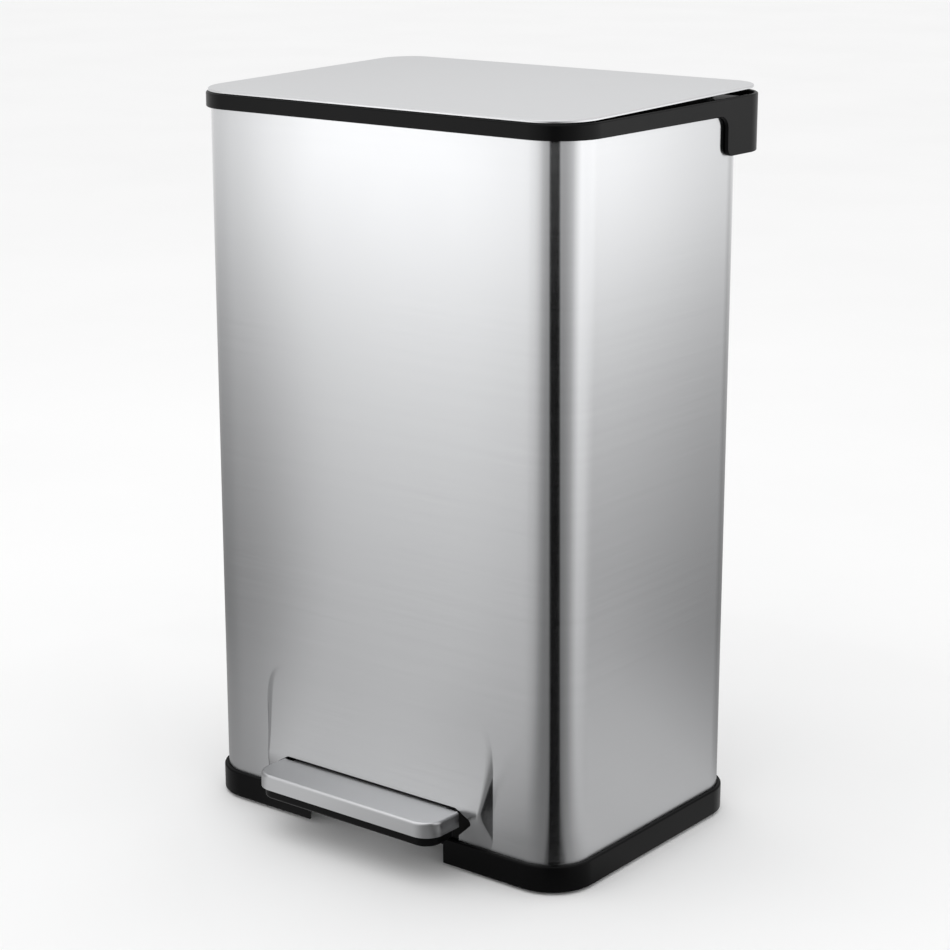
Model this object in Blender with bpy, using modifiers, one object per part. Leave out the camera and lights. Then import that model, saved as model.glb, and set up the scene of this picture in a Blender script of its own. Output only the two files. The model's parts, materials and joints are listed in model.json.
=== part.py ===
"""Rectangular pedal trash can: steel shell, hinged lid, pedal linkage and inner bucket.

Metres, +Z up, the pedal faces -Y. Y is measured from the middle of the shell; one master
empty then shifts the whole can so that the pedal and the hinge housing reach equally far.
"""

import math

import bmesh
import bpy
from mathutils import Matrix, Vector

OBJECT_NAME = "pedal_trash_can"
GAP = 0.0003  # air between two pieces that touch

# Shell: a rolled and welded steel tube with rounded corners.
SHELL_WIDTH = 0.400
SHELL_DEPTH = 0.266
SHELL_RADIUS = 0.038
SHELL_SHEET = 0.0005
SHELL_BOTTOM = 0.0120
SHELL_TOP = 0.6395
SHELL_X = SHELL_WIDTH / 2
SHELL_Y = SHELL_DEPTH / 2

# Hood pressed out of the front wall over the pedal, and the slot under it.
HOOD_DEPTH = 0.010
HOOD_FOOT = 0.128
HOOD_FLANK = 1.1  # slope of the hood's sides
HOOD_BEND = 0.003
HOOD_HIGH = 0.128
SLOT_TOP = 0.0605
SLOT_SIDE = ((0.0905, 0.0, 0), (0.0915, 0.031, 0.003), (0.1130, 0.050, 0.005), (0.0960, SLOT_TOP, 0.006))
FRONT_COLUMNS = (0.0, 0.040, 0.080, 0.104, 0.110, 0.1145, 0.118, 0.121, 0.1245, 0.128, 0.145)
SHELL_LEVELS = (SHELL_BOTTOM, 0.026, 0.036, 0.045, 0.053, SLOT_TOP, 0.068, 0.077, 0.088, 0.100, 0.111,
                HOOD_HIGH, SHELL_TOP)

# Plastic base.
TRIM_OUT = 0.004  # how far base and collar stand out from the shell
BASE_LOW = 0.0025
BASE_HIGH = 0.0260
BASE_DECK_LOW = 0.0085
BASE_DECK_HIGH = 0.0115
BASE_WALL = 0.0025
PLINTH_X = 0.190
PLINTH_FRONT = -0.116
PLINTH_BACK = 0.108
PLINTH_HIGH = 0.067
WINDOW_X = 0.120
NOTCH_X = 0.077  # gap in the skirt that the pedal moves in
BAY_X = 0.045  # lever opening through the plinth's front wall, and the pad over its pivot
BAY_HIGH = 0.060
TAIL_BAY_X = (-0.066, 0.024)
PAD_Y = (-0.082, -0.038)
PAD_LOW = 0.058
FOOT_X = 0.160
FOOT_Y = {"front": -0.096, "back": 0.088}
FOOT_RADIUS = 0.0125
FOOT_HIGH = 0.0082

# Plastic collar with the hinge housing at its back.
COLLAR_LOW = 0.632
COLLAR_FRONT_HIGH = 0.6450
COLLAR_BACK_HIGH = 0.6476
DECK_LOW = 0.640
DECK_HIGH = 0.6435
OPENING_X = 0.193
OPENING_FRONT = -0.126
OPENING_BACK = 0.108
HOUSING_BACK = 0.160
HOUSING_LOW = 0.598
HOUSING_FRONT = 0.090
HOUSING_RADIUS = 0.034
HOUSING_WALL = 0.0025
COLLAR_BEAD = 0.003
SKIRT_LOW = 0.624
CHEEK_OFFSET = 0.0070  # cheeks stand on both sides of each hinge lug
CHEEK_HALF = 0.0015
CRANK_NOTCH_X = (-0.0095, 0.0185)  # way for the crank and the rod's top hook
CRANK_NOTCH_FRONT = 0.1075
CRANK_NOTCH_LOW = 0.604

# Cover over the back of the hinge housing.
COVER_X = 0.172
COVER_LOW = 0.604
COVER_RISE = 0.0073  # above the hinge axis
COVER_SCREWS = ((0.060, 0.614), (0.125, 0.614))
COVER_BOSS = 0.0045

# Lid and its hinge.
HINGE_Y = 0.1515
HINGE_Z = 0.640
LID_TILT = math.radians(1.35)
LID_X = 0.202
LID_FRONT = -0.135
LID_BACK = 0.155
LID_TOP = 0.0145  # above the hinge axis, square to the lid
LID_SHEET = 0.0006
LID_EDGE = 0.0022
LUG_X = 0.150
LUG_HALF = 0.005
LUG_RADIUS = 0.0055
LUG_BORE = 0.0042
PIN_RADIUS = 0.0025
LID_FRONT_RADIUS = 0.040
LID_BACK_RADIUS = 0.032

# Plastic frame under the lid plate; heights are above the hinge axis, square to the lid.
FRAME_LOW = 0.0120
FRAME_HIGH = 0.0136
FRAME_BACK = 0.1400
LIP_X = 0.1905
LIP_FRONT = -0.1235
LIP_BACK = 0.105
LIP_WALL = 0.002
LIP_DEPTH = 0.0070
FLANGE_LOW = 0.0091
CRANK_HALF = 0.002
CRANK_SCREW_X = 0.0095
CRANK_SCREW_Y = (-0.034, -0.020)
BUMPER_RADIUS = 0.0035
BUMPER_HIGH = 0.0013
BUMPER_SPOTS = ((0.1400, -0.2813), (0.1968, -0.2250))

# Pedal lever, pivoted under the plinth.
PIVOT_Y = -0.060
PIVOT_Z = 0.030
AXLE_RADIUS = 0.004
PEDAL_X = 0.1005
PEDAL_FRONT = -0.184
PEDAL_BACK = -0.119
PEDAL_HIGH = 0.0585
TONGUE_X = 0.088  # the pedal's narrower back part, which goes through the slot
PEDAL_SKIRT = 0.014
PEDAL_SHEET = 0.0012
PEDAL_RADIUS = 0.018
CORE_BACK = -0.1445  # the wide part of the pedal stays ahead of the base and the hood
CORE_LOW = 0.0350
CORE_STEP = 0.0445
PEDAL_SCREW_X = (-0.015, 0.0, 0.015)
PEDAL_SCREW_Y = -0.165
PEDAL_SCREW_Z = 0.0422
STRAP_FRONT = -0.177
STRAP_Z = 0.051
STRAP_HALF = 0.022
STRAP_SHEET = 0.004
TUBE_HALF = 0.029
TUBE_RADIUS = 0.0075
EAR_RADIUS = 0.0048

# Folded bracket that the lever's axle hangs in.
BRACKET_X = 0.034
BRACKET_Y = (-0.081, -0.039)
BRACKET_LOW = 0.022
BRACKET_SHEET = 0.002
BRACKET_SCREW_X = 0.024
BRACKET_SCREW_Y = (-0.074, -0.046)
AXLE_HALF = 0.038

# Clearance holes for screw shanks.
SCREW_HOLE = 0.0018
SMALL_SCREW_HOLE = 0.0016

# Lift rod: a bent wire from the lever's tail to the crank under the lid.
ROD_RADIUS = 0.002
ROD_X = 0.012
ROD_LOW_Y = 0.121
ROD_LOW_Z = 0.010
ROD_HIGH_Y = 0.1265
ROD_HIGH_Z = 0.620
ROD_JOG = (0.540, 0.575)  # where the rod leans back to clear the collar
ROD_HOOK_X = -0.0075  # the bent ends reach to here
WIRE_BEND = 0.004
CLIP_RADIUS = 0.0040
CLIP_SHEET = 0.0012
GUIDE_LEVELS = {"lower": 0.160, "upper": 0.470}
GUIDE_HIGH = 0.012

# Soft-close damper beside the rod.
DAMPER_X = -0.050
DAMPER_Y = 0.119
DAMPER_RADIUS = 0.009
DAMPER_LOW = 0.074
DAMPER_HIGH = 0.146
DAMPER_WALL = 0.0018
DAMPER_BAND = (0.104, 0.118)

# Inner bucket.
BUCKET_X = 0.186
BUCKET_FRONT = -0.119
BUCKET_BACK = 0.100
BUCKET_HIGH = 0.628
BUCKET_WALL = 0.002
BUCKET_DRAFT = 0.008
BUCKET_FLOOR = 0.0025
BUCKET_RADIUS = 0.030
RIM_OUT = 0.004
RIM_DEPTH = 0.009
RIM_SHEET = 0.002
GRIP_X = 0.050
GRIP_LOW = 0.586
GRIP_HIGH = 0.608

# The pedal's front and the housing's back end up at equal distances from the origin.
BODY_SHIFT_Y = -(PEDAL_FRONT + HOUSING_BACK) / 2


# ---------------------------------------------------------------- scene and helpers

def clear_scene():
    for item in list(bpy.data.objects):
        bpy.data.objects.remove(item, do_unlink=True)


def new_collection(name):
    collection = bpy.data.collections.new(name)
    bpy.context.scene.collection.children.link(collection)
    return collection


def new_empty(name, location, parent=None):
    empty = bpy.data.objects.new(name, None)
    empty.empty_display_size = 0.02
    empty.location = location
    empty.parent = parent
    PARTS.objects.link(empty)
    return empty


def new_material(name, colour, roughness, metallic=0.0):
    material = bpy.data.materials.new(name)
    material.use_nodes = True
    shader = material.node_tree.nodes["Principled BSDF"]
    shader.inputs["Base Color"].default_value = (*colour, 1.0)
    shader.inputs["Roughness"].default_value = roughness
    shader.inputs["Metallic"].default_value = metallic
    material.diffuse_color = (*colour, 1.0)
    return material


def add_object(name, mesh, collection=None):
    """Object of this mesh in the can's own axes, hung on the master empty."""
    item = bpy.data.objects.new(name, mesh)
    item.parent = MASTER
    (collection or CUTTERS).objects.link(item)
    if collection is None:
        item.hide_render = True
        item.display_type = "WIRE"
    return item


def finish(item, name, material, joint=None):
    """Make a solid one of the can's named parts, on its joint's empty if it moves."""
    for collection in list(item.users_collection):
        collection.objects.unlink(item)
    PARTS.objects.link(item)
    item.name = name
    item.data.name = name
    item.hide_render = False
    item.display_type = "TEXTURED"
    item.data.materials.clear()
    item.data.materials.append(material)
    if joint is not None:
        item.parent = joint
        item.matrix_parent_inverse = Matrix.Translation(-joint.location)
    return item


def fillet(corners, steps=5):
    """Closed outline through (x, y, radius) corners; a radius of zero stays sharp."""
    points = []
    for index, (x, y, radius) in enumerate(corners):
        corner = Vector((x, y))
        before = (Vector(corners[index - 1][:2]) - corner).normalized()
        after = (Vector(corners[(index + 1) % len(corners)][:2]) - corner).normalized()
        if radius == 0:
            points.append(corner)
            continue
        half = before.angle(after) / 2
        centre = corner + (before + after).normalized() * (radius / math.sin(half))
        start = corner + before * (radius / math.tan(half)) - centre
        end = corner + after * (radius / math.tan(half)) - centre
        sweep = start.angle(end)
        for step in range(steps + 1):
            share = step / steps
            blend = start * math.sin((1 - share) * sweep) + end * math.sin(share * sweep)
            points.append(centre + blend / math.sin(sweep))
    return points


def rectangle(half_x, low_y, high_y, radius, back_radius=None, steps=5):
    """Plan outline with rounded corners, the back ones with a radius of their own."""
    back = radius if back_radius is None else back_radius
    return fillet([(half_x, low_y, radius), (half_x, high_y, back),
                   (-half_x, high_y, back), (-half_x, low_y, radius)], steps)


def shell_outline(offset, steps=6):
    """The shell's plan outline, grown outward by an offset."""
    radius = SHELL_RADIUS + offset
    return rectangle(SHELL_X + offset, -SHELL_Y - offset, SHELL_Y + offset, radius, steps=steps)


def capsule(start, end, radius, steps=8):
    """Outline of a slot or a rounded arm between two centres."""
    start, end = Vector(start), Vector(end)
    along = (end - start).normalized()
    across = Vector((-along.y, along.x))
    points = []
    for centre, turn in ((end, -1), (start, 1)):
        for step in range(steps + 1):
            angle = math.pi * step / steps
            ray = across * (turn * math.cos(angle)) - along * (turn * math.sin(angle))
            points.append(centre + ray * radius)
    return points


def circle(centre, radius, steps=24):
    turn = 2 * math.pi / steps
    return [Vector((centre[0] + radius * math.cos(turn * step),
                    centre[1] + radius * math.sin(turn * step))) for step in range(steps)]


def strap(path, thickness):
    """Outline of a flat bar that follows a bent centre line."""
    path = [Vector(point) for point in path]
    sides = []
    for index, point in enumerate(path):
        before = (point - path[index - 1]).normalized() if index else None
        after = (path[index + 1] - point).normalized() if index + 1 < len(path) else None
        along = ((before or after) + (after or before)).normalized()
        reach = thickness / 2 / along.dot(before or after)
        sides.append(Vector((-along.y, along.x)) * reach)
    left = [point + side for point, side in zip(path, sides)]
    right = [point - side for point, side in zip(path, sides)]
    return left + right[::-1]


# How an outline's own x and y lie in the can's axes, for each direction of extrusion.
TURN = {
    "Z": Matrix.Identity(4),
    "X": Matrix(((0, 0, 1, 0), (1, 0, 0, 0), (0, 1, 0, 0), (0, 0, 0, 1))),
    "Y": Matrix(((1, 0, 0, 0), (0, 0, -1, 0), (0, 1, 0, 0), (0, 0, 0, 1))),
}


def curve_to_mesh(curve, matrix):
    """Evaluate a curve, turn it into a welded mesh and drop the curve."""
    item = bpy.data.objects.new("outline", curve)
    bpy.context.scene.collection.objects.link(item)
    graph = bpy.context.evaluated_depsgraph_get()
    mesh = bpy.data.meshes.new_from_object(item.evaluated_get(graph))
    bpy.data.objects.remove(item, do_unlink=True)
    bpy.data.curves.remove(curve)
    work = bmesh.new()
    work.from_mesh(mesh)
    bmesh.ops.remove_doubles(work, verts=work.verts, dist=0.00001)
    bmesh.ops.transform(work, matrix=matrix, verts=work.verts)
    bmesh.ops.recalc_face_normals(work, faces=work.faces)
    work.to_mesh(mesh)
    work.free()
    return mesh


def slab(outlines, low, high, axis="Z"):
    """Solid between two levels of an axis; later outlines are holes in the first."""
    curve = bpy.data.curves.new("outline", "CURVE")
    curve.dimensions = "2D"
    curve.fill_mode = "BOTH"
    curve.extrude = (high - low) / 2
    for outline in outlines:
        spline = curve.splines.new("POLY")
        spline.points.add(len(outline) - 1)
        spline.use_cyclic_u = True
        for point, place in zip(spline.points, outline):
            point.co = (place[0], place[1], 0, 1)
    middle = (low + high) / 2
    centre = middle if axis != "Y" else -middle
    matrix = TURN[axis] @ Matrix.Translation((0, 0, centre))
    return add_object("solid", curve_to_mesh(curve, matrix))


def block(x, y, z):
    """Box between pairs of x, y and z levels."""
    low, high = Vector((x[0], y[0], z[0])), Vector((x[1], y[1], z[1]))
    mesh = bpy.data.meshes.new("block")
    work = bmesh.new()
    place = Matrix.Translation((low + high) / 2) @ Matrix.Diagonal((*(high - low), 1))
    bmesh.ops.create_cube(work, size=1, matrix=place)
    work.to_mesh(mesh)
    work.free()
    return add_object("solid", mesh)


def rod_solid(radius, start, end, segments=24):
    """Plain cylinder from one point to another."""
    start, end = Vector(start), Vector(end)
    turn = (end - start).to_track_quat("Z", "Y").to_matrix().to_4x4()
    mesh = bpy.data.meshes.new("cylinder")
    work = bmesh.new()
    bmesh.ops.create_cone(work, cap_ends=True, segments=segments, radius1=radius, radius2=radius,
                          depth=(end - start).length, matrix=Matrix.Translation((start + end) / 2) @ turn)
    work.to_mesh(mesh)
    work.free()
    return add_object("solid", mesh)


def frustum(low_outline, high_outline, low, high):
    """Solid whose outline changes evenly from one level to another."""
    mesh = bpy.data.meshes.new("frustum")
    work = bmesh.new()
    ring = [work.verts.new((x, y, low)) for x, y in low_outline]
    face = work.faces.new(ring)
    grown = bmesh.ops.extrude_face_region(work, geom=[face])["geom"]
    top = [vert for vert in grown if isinstance(vert, bmesh.types.BMVert)]
    target = {(round(x, 7), round(y, 7)): place
              for (x, y), place in zip(low_outline, high_outline)}
    for vert in top:
        x, y = target[(round(vert.co.x, 7), round(vert.co.y, 7))]
        vert.co = (x, y, high)
    bmesh.ops.recalc_face_normals(work, faces=work.faces)
    work.to_mesh(mesh)
    work.free()
    return add_object("solid", mesh)


def combine(target, tool, operation):
    """Boolean that stays live on the target, with the tool kept among the cutters."""
    modifier = target.modifiers.new(operation.lower(), "BOOLEAN")
    modifier.operation = operation
    modifier.solver = "EXACT"
    modifier.object = tool
    tool.name = "cutter"
    return target


def cut(target, *tools):
    for tool in tools:
        combine(target, tool, "DIFFERENCE")
    return target


def fuse(target, *tools):
    for tool in tools:
        combine(target, tool, "UNION")
    return target


def turned(name, profile, material, location, direction=(0, 0, 1), joint=None, closed=False,
           steps=24):
    """Part turned round an axis from (radius, height) points that run down its outside."""
    mesh = bpy.data.meshes.new(name)
    verts = [(radius, 0, height) for radius, height in profile]
    edges = [(index, index + 1) for index in range(len(verts) - 1)]
    if closed:
        edges.append((len(verts) - 1, 0))
    mesh.from_pydata(verts, edges, [])
    item = add_object(name, mesh)
    turn = item.modifiers.new("turn", "SCREW")
    turn.steps = steps
    turn.render_steps = steps
    turn.use_merge_vertices = True
    turn.merge_threshold = 0.00001
    turn.use_smooth_shade = True
    item.location = location
    item.rotation_euler = Vector(direction).to_track_quat("Z", "Y").to_euler()
    return finish(item, name, material, joint)


def screw(name, head_radius, head_height, shank_radius, length, location, direction,
          material, joint=None):
    """Pan-head screw; the location is under its head and the direction is out of the head."""
    profile = [(0, head_height), (head_radius * 0.7, head_height),
               (head_radius, head_height * 0.5), (head_radius, 0), (shank_radius, 0),
               (shank_radius, -length + shank_radius), (0, -length)]
    return turned(name, profile, material, location, direction, joint, steps=16)


def washer(name, inner, outer, thickness, location, direction, material, joint=None):
    """Flat ring that stands on its location."""
    profile = [(outer, thickness), (outer, 0), (inner, 0), (inner, thickness)]
    return turned(name, profile, material, location, direction, joint, closed=True)


def smooth_step(value):
    value = min(max(value, 0.0), 1.0)
    return value * value * (3 - 2 * value)


# ---------------------------------------------------------------- body parts

def hood_depth(x, z):
    """How far the front wall is pressed out at this place."""
    above = min(max((z - SLOT_TOP) / (HOOD_HIGH - SLOT_TOP), 0), 1)
    top = HOOD_DEPTH * (1 - above) ** 1.5 * smooth_step((z - BASE_HIGH) / (SLOT_TOP - BASE_HIGH))
    flank = max(HOOD_FOOT - abs(x), 0) * HOOD_FLANK
    blend = min(max(0.5 + (flank - top) / (2 * HOOD_BEND), 0), 1)
    return max(flank + (top - flank) * blend - HOOD_BEND * blend * (1 - blend), 0)


def shell_ring():
    """Plan outline with extra points along the front, where the hood needs them."""
    front = [Vector((x, -SHELL_Y)) for x in FRONT_COLUMNS]
    mirrored = [Vector((-x, -SHELL_Y)) for x in FRONT_COLUMNS[:0:-1]]
    return shell_outline(0) + mirrored + front


def make_outer_shell():
    mesh = bpy.data.meshes.new("outer_shell")
    work = bmesh.new()
    verts = [work.verts.new((x, y, SHELL_BOTTOM)) for x, y in shell_ring()]
    edges = [work.edges.new(pair) for pair in zip(verts, verts[1:] + verts[:1])]
    for low, high in zip(SHELL_LEVELS, SHELL_LEVELS[1:]):
        grown = bmesh.ops.extrude_edge_only(work, edges=edges)["geom"]
        verts = {item for item in grown if isinstance(item, bmesh.types.BMVert)}
        edges = [item for item in grown
                 if isinstance(item, bmesh.types.BMEdge) and set(item.verts) <= verts]
        bmesh.ops.translate(work, vec=(0, 0, high - low), verts=list(verts))
    for vert in work.verts:
        if vert.co.y < -SHELL_Y + GAP:
            vert.co.y -= hood_depth(vert.co.x, vert.co.z)
    bmesh.ops.recalc_face_normals(work, faces=work.faces)
    work.to_mesh(mesh)
    work.free()
    shell = add_object("outer_shell", mesh)
    sheet = shell.modifiers.new("sheet", "SOLIDIFY")
    sheet.thickness = SHELL_SHEET
    sheet.offset = -1
    slot = list(SLOT_SIDE) + [(-x, z, radius) for x, z, radius in reversed(SLOT_SIDE)]
    cut(shell, slab([fillet(slot)], -0.155, -0.100, "Y"))
    notch_x = (CRANK_NOTCH_X[0] - 0.0005, CRANK_NOTCH_X[1] + 0.0005)
    cut(shell, block(notch_x, (SHELL_Y - 0.008, SHELL_Y + 0.007), (CRANK_NOTCH_LOW - 0.001, 0.650)))
    return finish(shell, "outer_shell", STEEL)


def make_base_tray():
    base = slab([shell_outline(TRIM_OUT)], BASE_LOW, BASE_HIGH)
    plinth = rectangle(PLINTH_X, PLINTH_FRONT, PLINTH_BACK, 0.008)
    fuse(base, slab([plinth], BASE_DECK_LOW, PLINTH_HIGH))
    groove = [shell_outline(GAP), shell_outline(-SHELL_SHEET - GAP)]
    lip_inside = shell_outline(-SHELL_SHEET - GAP - BASE_WALL)
    cut(base, slab(groove, BASE_DECK_HIGH, 0.080))
    cut(base, slab([lip_inside, plinth], BASE_DECK_HIGH, 0.080))
    cut(base, slab([shell_outline(0.0006)], 0, BASE_DECK_LOW))
    hollow = (PLINTH_FRONT + BASE_WALL, PLINTH_BACK - BASE_WALL)
    inside = rectangle(PLINTH_X - BASE_WALL, *hollow, 0.006)
    cut(base, slab([inside], BASE_DECK_HIGH, PLINTH_HIGH - BASE_WALL))
    cut(base, block((-WINDOW_X, WINDOW_X), (hollow[0] + 0.0005, hollow[1] - 0.0005), (0, 0.0125)))
    fuse(base, block((-BAY_X, BAY_X), PAD_Y, (PAD_LOW, PLINTH_HIGH - 0.0015)))
    cut(base, block((-NOTCH_X, NOTCH_X), (-0.150, PLINTH_FRONT - 0.0001), (0, 0.030)))
    cut(base, block((-BAY_X, BAY_X), (PLINTH_FRONT - 0.004, hollow[0] + 0.002), (0, BAY_HIGH)))
    cut(base, block(TAIL_BAY_X, (hollow[1] - 0.002, SHELL_Y - 0.004), (0, BAY_HIGH)))
    for x in (-BRACKET_SCREW_X, BRACKET_SCREW_X):
        for y in BRACKET_SCREW_Y:
            cut(base, rod_solid(SCREW_HOLE, (x, y, PAD_LOW - 0.003), (x, y, PAD_LOW + 0.0055), 12))
    return finish(base, "base_tray", PLASTIC)


def make_feet():
    profile = [(0, FOOT_HIGH), (FOOT_RADIUS, FOOT_HIGH), (FOOT_RADIUS, 0.0025),
               (FOOT_RADIUS - 0.001, 0.0), (0, 0.0)]
    for side, x in (("left", -FOOT_X), ("right", FOOT_X)):
        for end, y in FOOT_Y.items():
            turned(f"foot_{end}_{side}", profile, RUBBER, (x, y, 0))


def make_top_collar():
    plan = rectangle(SHELL_X + TRIM_OUT, -SHELL_Y - TRIM_OUT, HOUSING_BACK,
                     SHELL_RADIUS + TRIM_OUT, HOUSING_RADIUS)
    collar = slab([plan], 0.580, 0.660)
    front, back = -0.150, 0.170
    rise = (COLLAR_BACK_HIGH - COLLAR_FRONT_HIGH) / (HOUSING_BACK + SHELL_Y + TRIM_OUT)
    profile = fillet([
        (front, COLLAR_LOW, 0), (HOUSING_FRONT, COLLAR_LOW, 0.012),
        (HOUSING_FRONT, HOUSING_LOW, 0.007), (back, HOUSING_LOW, 0),
        (back, COLLAR_BACK_HIGH + rise * (back - HOUSING_BACK), 0),
        (front, COLLAR_FRONT_HIGH + rise * (front + SHELL_Y + TRIM_OUT), 0)])
    combine(collar, slab([profile], -0.250, 0.250, "X"), "INTERSECT")
    cut(collar, slab([shell_outline(GAP)], 0.570, DECK_LOW))
    skirt_out = -SHELL_SHEET - GAP
    skirt = [shell_outline(skirt_out), shell_outline(skirt_out - HOUSING_WALL)]
    fuse(collar, slab(skirt, SKIRT_LOW, DECK_LOW + 0.001))
    recess = rectangle(SHELL_X + TRIM_OUT - COLLAR_BEAD, -SHELL_Y - TRIM_OUT + COLLAR_BEAD,
                       HOUSING_BACK - HOUSING_WALL, SHELL_RADIUS + TRIM_OUT - COLLAR_BEAD,
                       HOUSING_RADIUS - HOUSING_WALL)
    cut(collar, slab([recess], DECK_HIGH, 0.670))
    opening = rectangle(OPENING_X, OPENING_FRONT, OPENING_BACK, 0.030)
    cut(collar, slab([opening], 0.600, 0.670))
    ledge = SHELL_Y + TRIM_OUT
    cavity = rectangle(0.190, ledge, HOUSING_BACK - HOUSING_WALL, 0.006)
    cut(collar, slab([cavity], HOUSING_LOW + HOUSING_WALL, 0.680))
    cover_front = HOUSING_BACK - HOUSING_WALL
    cut(collar, block((-COVER_X - GAP, COVER_X + GAP), (cover_front - 0.0005, 0.170),
                      (COVER_LOW - GAP, 0.690)))
    inner_back = cover_front - GAP
    for side in (-1, 1):
        for offset in (-CHEEK_OFFSET, CHEEK_OFFSET):
            middle = side * LUG_X + offset
            cheek = block((middle - CHEEK_HALF, middle + CHEEK_HALF), (ledge - 0.001, inner_back),
                          (HOUSING_LOW + 0.001, HINGE_Z + LUG_RADIUS))
            fuse(collar, cheek)
        for x, z in COVER_SCREWS:
            start, end = (side * x, ledge - 0.001, z), (side * x, inner_back, z)
            fuse(collar, rod_solid(COVER_BOSS, start, end))
    for side in (-1, 1):
        near, far = side * (LUG_X - 0.012), side * (LUG_X + 0.012)
        cut(collar, rod_solid(PIN_RADIUS + 0.0002, (near, HINGE_Y, HINGE_Z), (far, HINGE_Y, HINGE_Z)))
        for x, z in COVER_SCREWS:
            cut(collar, rod_solid(0.0015, (side * x, 0.142, z), (side * x, 0.162, z), 12))
    cut(collar, block(CRANK_NOTCH_X, (CRANK_NOTCH_FRONT, ledge + 0.0005), (CRANK_NOTCH_LOW, 0.6485)))
    return finish(collar, "top_collar", PLASTIC)


def make_hinge_cover():
    top = HINGE_Z + COVER_RISE
    outline = fillet([(-COVER_X, COVER_LOW, 0.003), (COVER_X, COVER_LOW, 0.003),
                      (COVER_X, top, 0), (-COVER_X, top, 0)])
    front = HOUSING_BACK - HOUSING_WALL
    cover = slab([outline], front, HOUSING_BACK, "Y")
    for side in (-1, 1):
        for x, z in COVER_SCREWS:
            cut(cover, rod_solid(0.0017, (side * x, 0.150, z), (side * x, 0.165, z), 12))
            cut(cover, rod_solid(0.0034, (side * x, front + 0.0010, z), (side * x, 0.165, z), 24))
    finish(cover, "hinge_cover", PLASTIC)
    number = 0
    for side in (-1, 1):
        for x, z in COVER_SCREWS:
            number += 1
            screw(f"cover_screw_{number}", 0.0030, 0.0011, 0.0012, 0.011,
                  (side * x, front + 0.0012, z), (0, 1, 0), ZINC)


def make_hinge_pins():
    profile = [(0, 0.0098), (PIN_RADIUS - 0.0005, 0.0098), (PIN_RADIUS, 0.0093),
               (PIN_RADIUS, -0.0093), (PIN_RADIUS - 0.0005, -0.0098), (0, -0.0098)]
    inner, outer, half = PIN_RADIUS + GAP, LUG_BORE - 0.0002, LUG_HALF - 0.0002
    bush = [(outer, half), (outer, -half), (inner, -half), (inner, half)]
    for side, x in (("left", -LUG_X), ("right", LUG_X)):
        place = (x, HINGE_Y, HINGE_Z)
        turned(f"hinge_pin_{side}", profile, ZINC, place, (1, 0, 0))
        turned(f"hinge_bush_{side}", bush, NYLON, place, (1, 0, 0), LID_JOINT, closed=True)


# ---------------------------------------------------------------- lid

def on_lid(y, z):
    """Lid coordinates, measured from the hinge along and square to the lid."""
    return (y + HINGE_Y, z + HINGE_Z)


def tilt_lid_part(item):
    """Tip a part built square to the can by the lid's slope, round the hinge axis."""
    centre = Matrix.Translation((0, HINGE_Y, HINGE_Z))
    item.matrix_basis = centre @ Matrix.Rotation(LID_TILT, 4, "X") @ centre.inverted()


def finish_lid_part(item, name, material):
    finish(item, name, material, LID_JOINT)
    tilt_lid_part(item)
    for modifier in item.modifiers:
        if modifier.type == "BOOLEAN":
            tilt_lid_part(modifier.object)
    return item


def lid_outline(inset, back):
    return rectangle(LID_X - inset, LID_FRONT + inset, back, LID_FRONT_RADIUS - inset,
                     LID_BACK_RADIUS - inset, 7)


def make_lid_plate():
    top = HINGE_Z + LID_TOP
    plate = slab([lid_outline(0, LID_BACK)], top - LID_EDGE, top)
    inside = lid_outline(LID_SHEET, LID_BACK - LID_SHEET)
    cut(plate, slab([inside], top - 0.010, top - LID_SHEET))
    return finish_lid_part(plate, "lid_plate", STEEL)


def make_lid_frame():
    outline = lid_outline(LID_SHEET + 2 * GAP, FRAME_BACK)
    frame = slab([outline], HINGE_Z + FRAME_LOW, HINGE_Z + FRAME_HIGH)
    lip = [rectangle(LIP_X - inset, LIP_FRONT + inset, LIP_BACK - inset, 0.029 - inset)
           for inset in (0, LIP_WALL)]
    fuse(frame, slab(lip, HINGE_Z + FRAME_LOW - LIP_DEPTH, HINGE_Z + FRAME_LOW + 0.0005))
    for side in (-1, 1):
        low, high = sorted((side * LUG_X - LUG_HALF, side * LUG_X + LUG_HALF))
        arm = [on_lid(-0.0035, 0.0042), on_lid(-0.0085, 0.0068), on_lid(-0.0120, 0.0125),
               on_lid(-0.0460, 0.0125), on_lid(-0.0440, 0.0090), on_lid(-0.0145, 0.0050),
               on_lid(-0.0045, -0.0030)]
        fuse(frame, slab([arm], low, high, "X"))
        fuse(frame, slab([circle(on_lid(0, 0), LUG_RADIUS)], low, high, "X"))
        cut(frame, rod_solid(LUG_BORE, (low - 0.001, HINGE_Y, HINGE_Z), (high + 0.001, HINGE_Y, HINGE_Z)))
    for x in (-CRANK_SCREW_X, CRANK_SCREW_X):
        for y in CRANK_SCREW_Y:
            hole_y, hole_z = on_lid(y, FRAME_LOW)
            start, end = (x, hole_y, hole_z - 0.002), (x, hole_y, hole_z + 0.0014)
            cut(frame, rod_solid(SMALL_SCREW_HOLE, start, end, 12))
    return finish_lid_part(frame, "lid_frame", PLASTIC)


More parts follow.
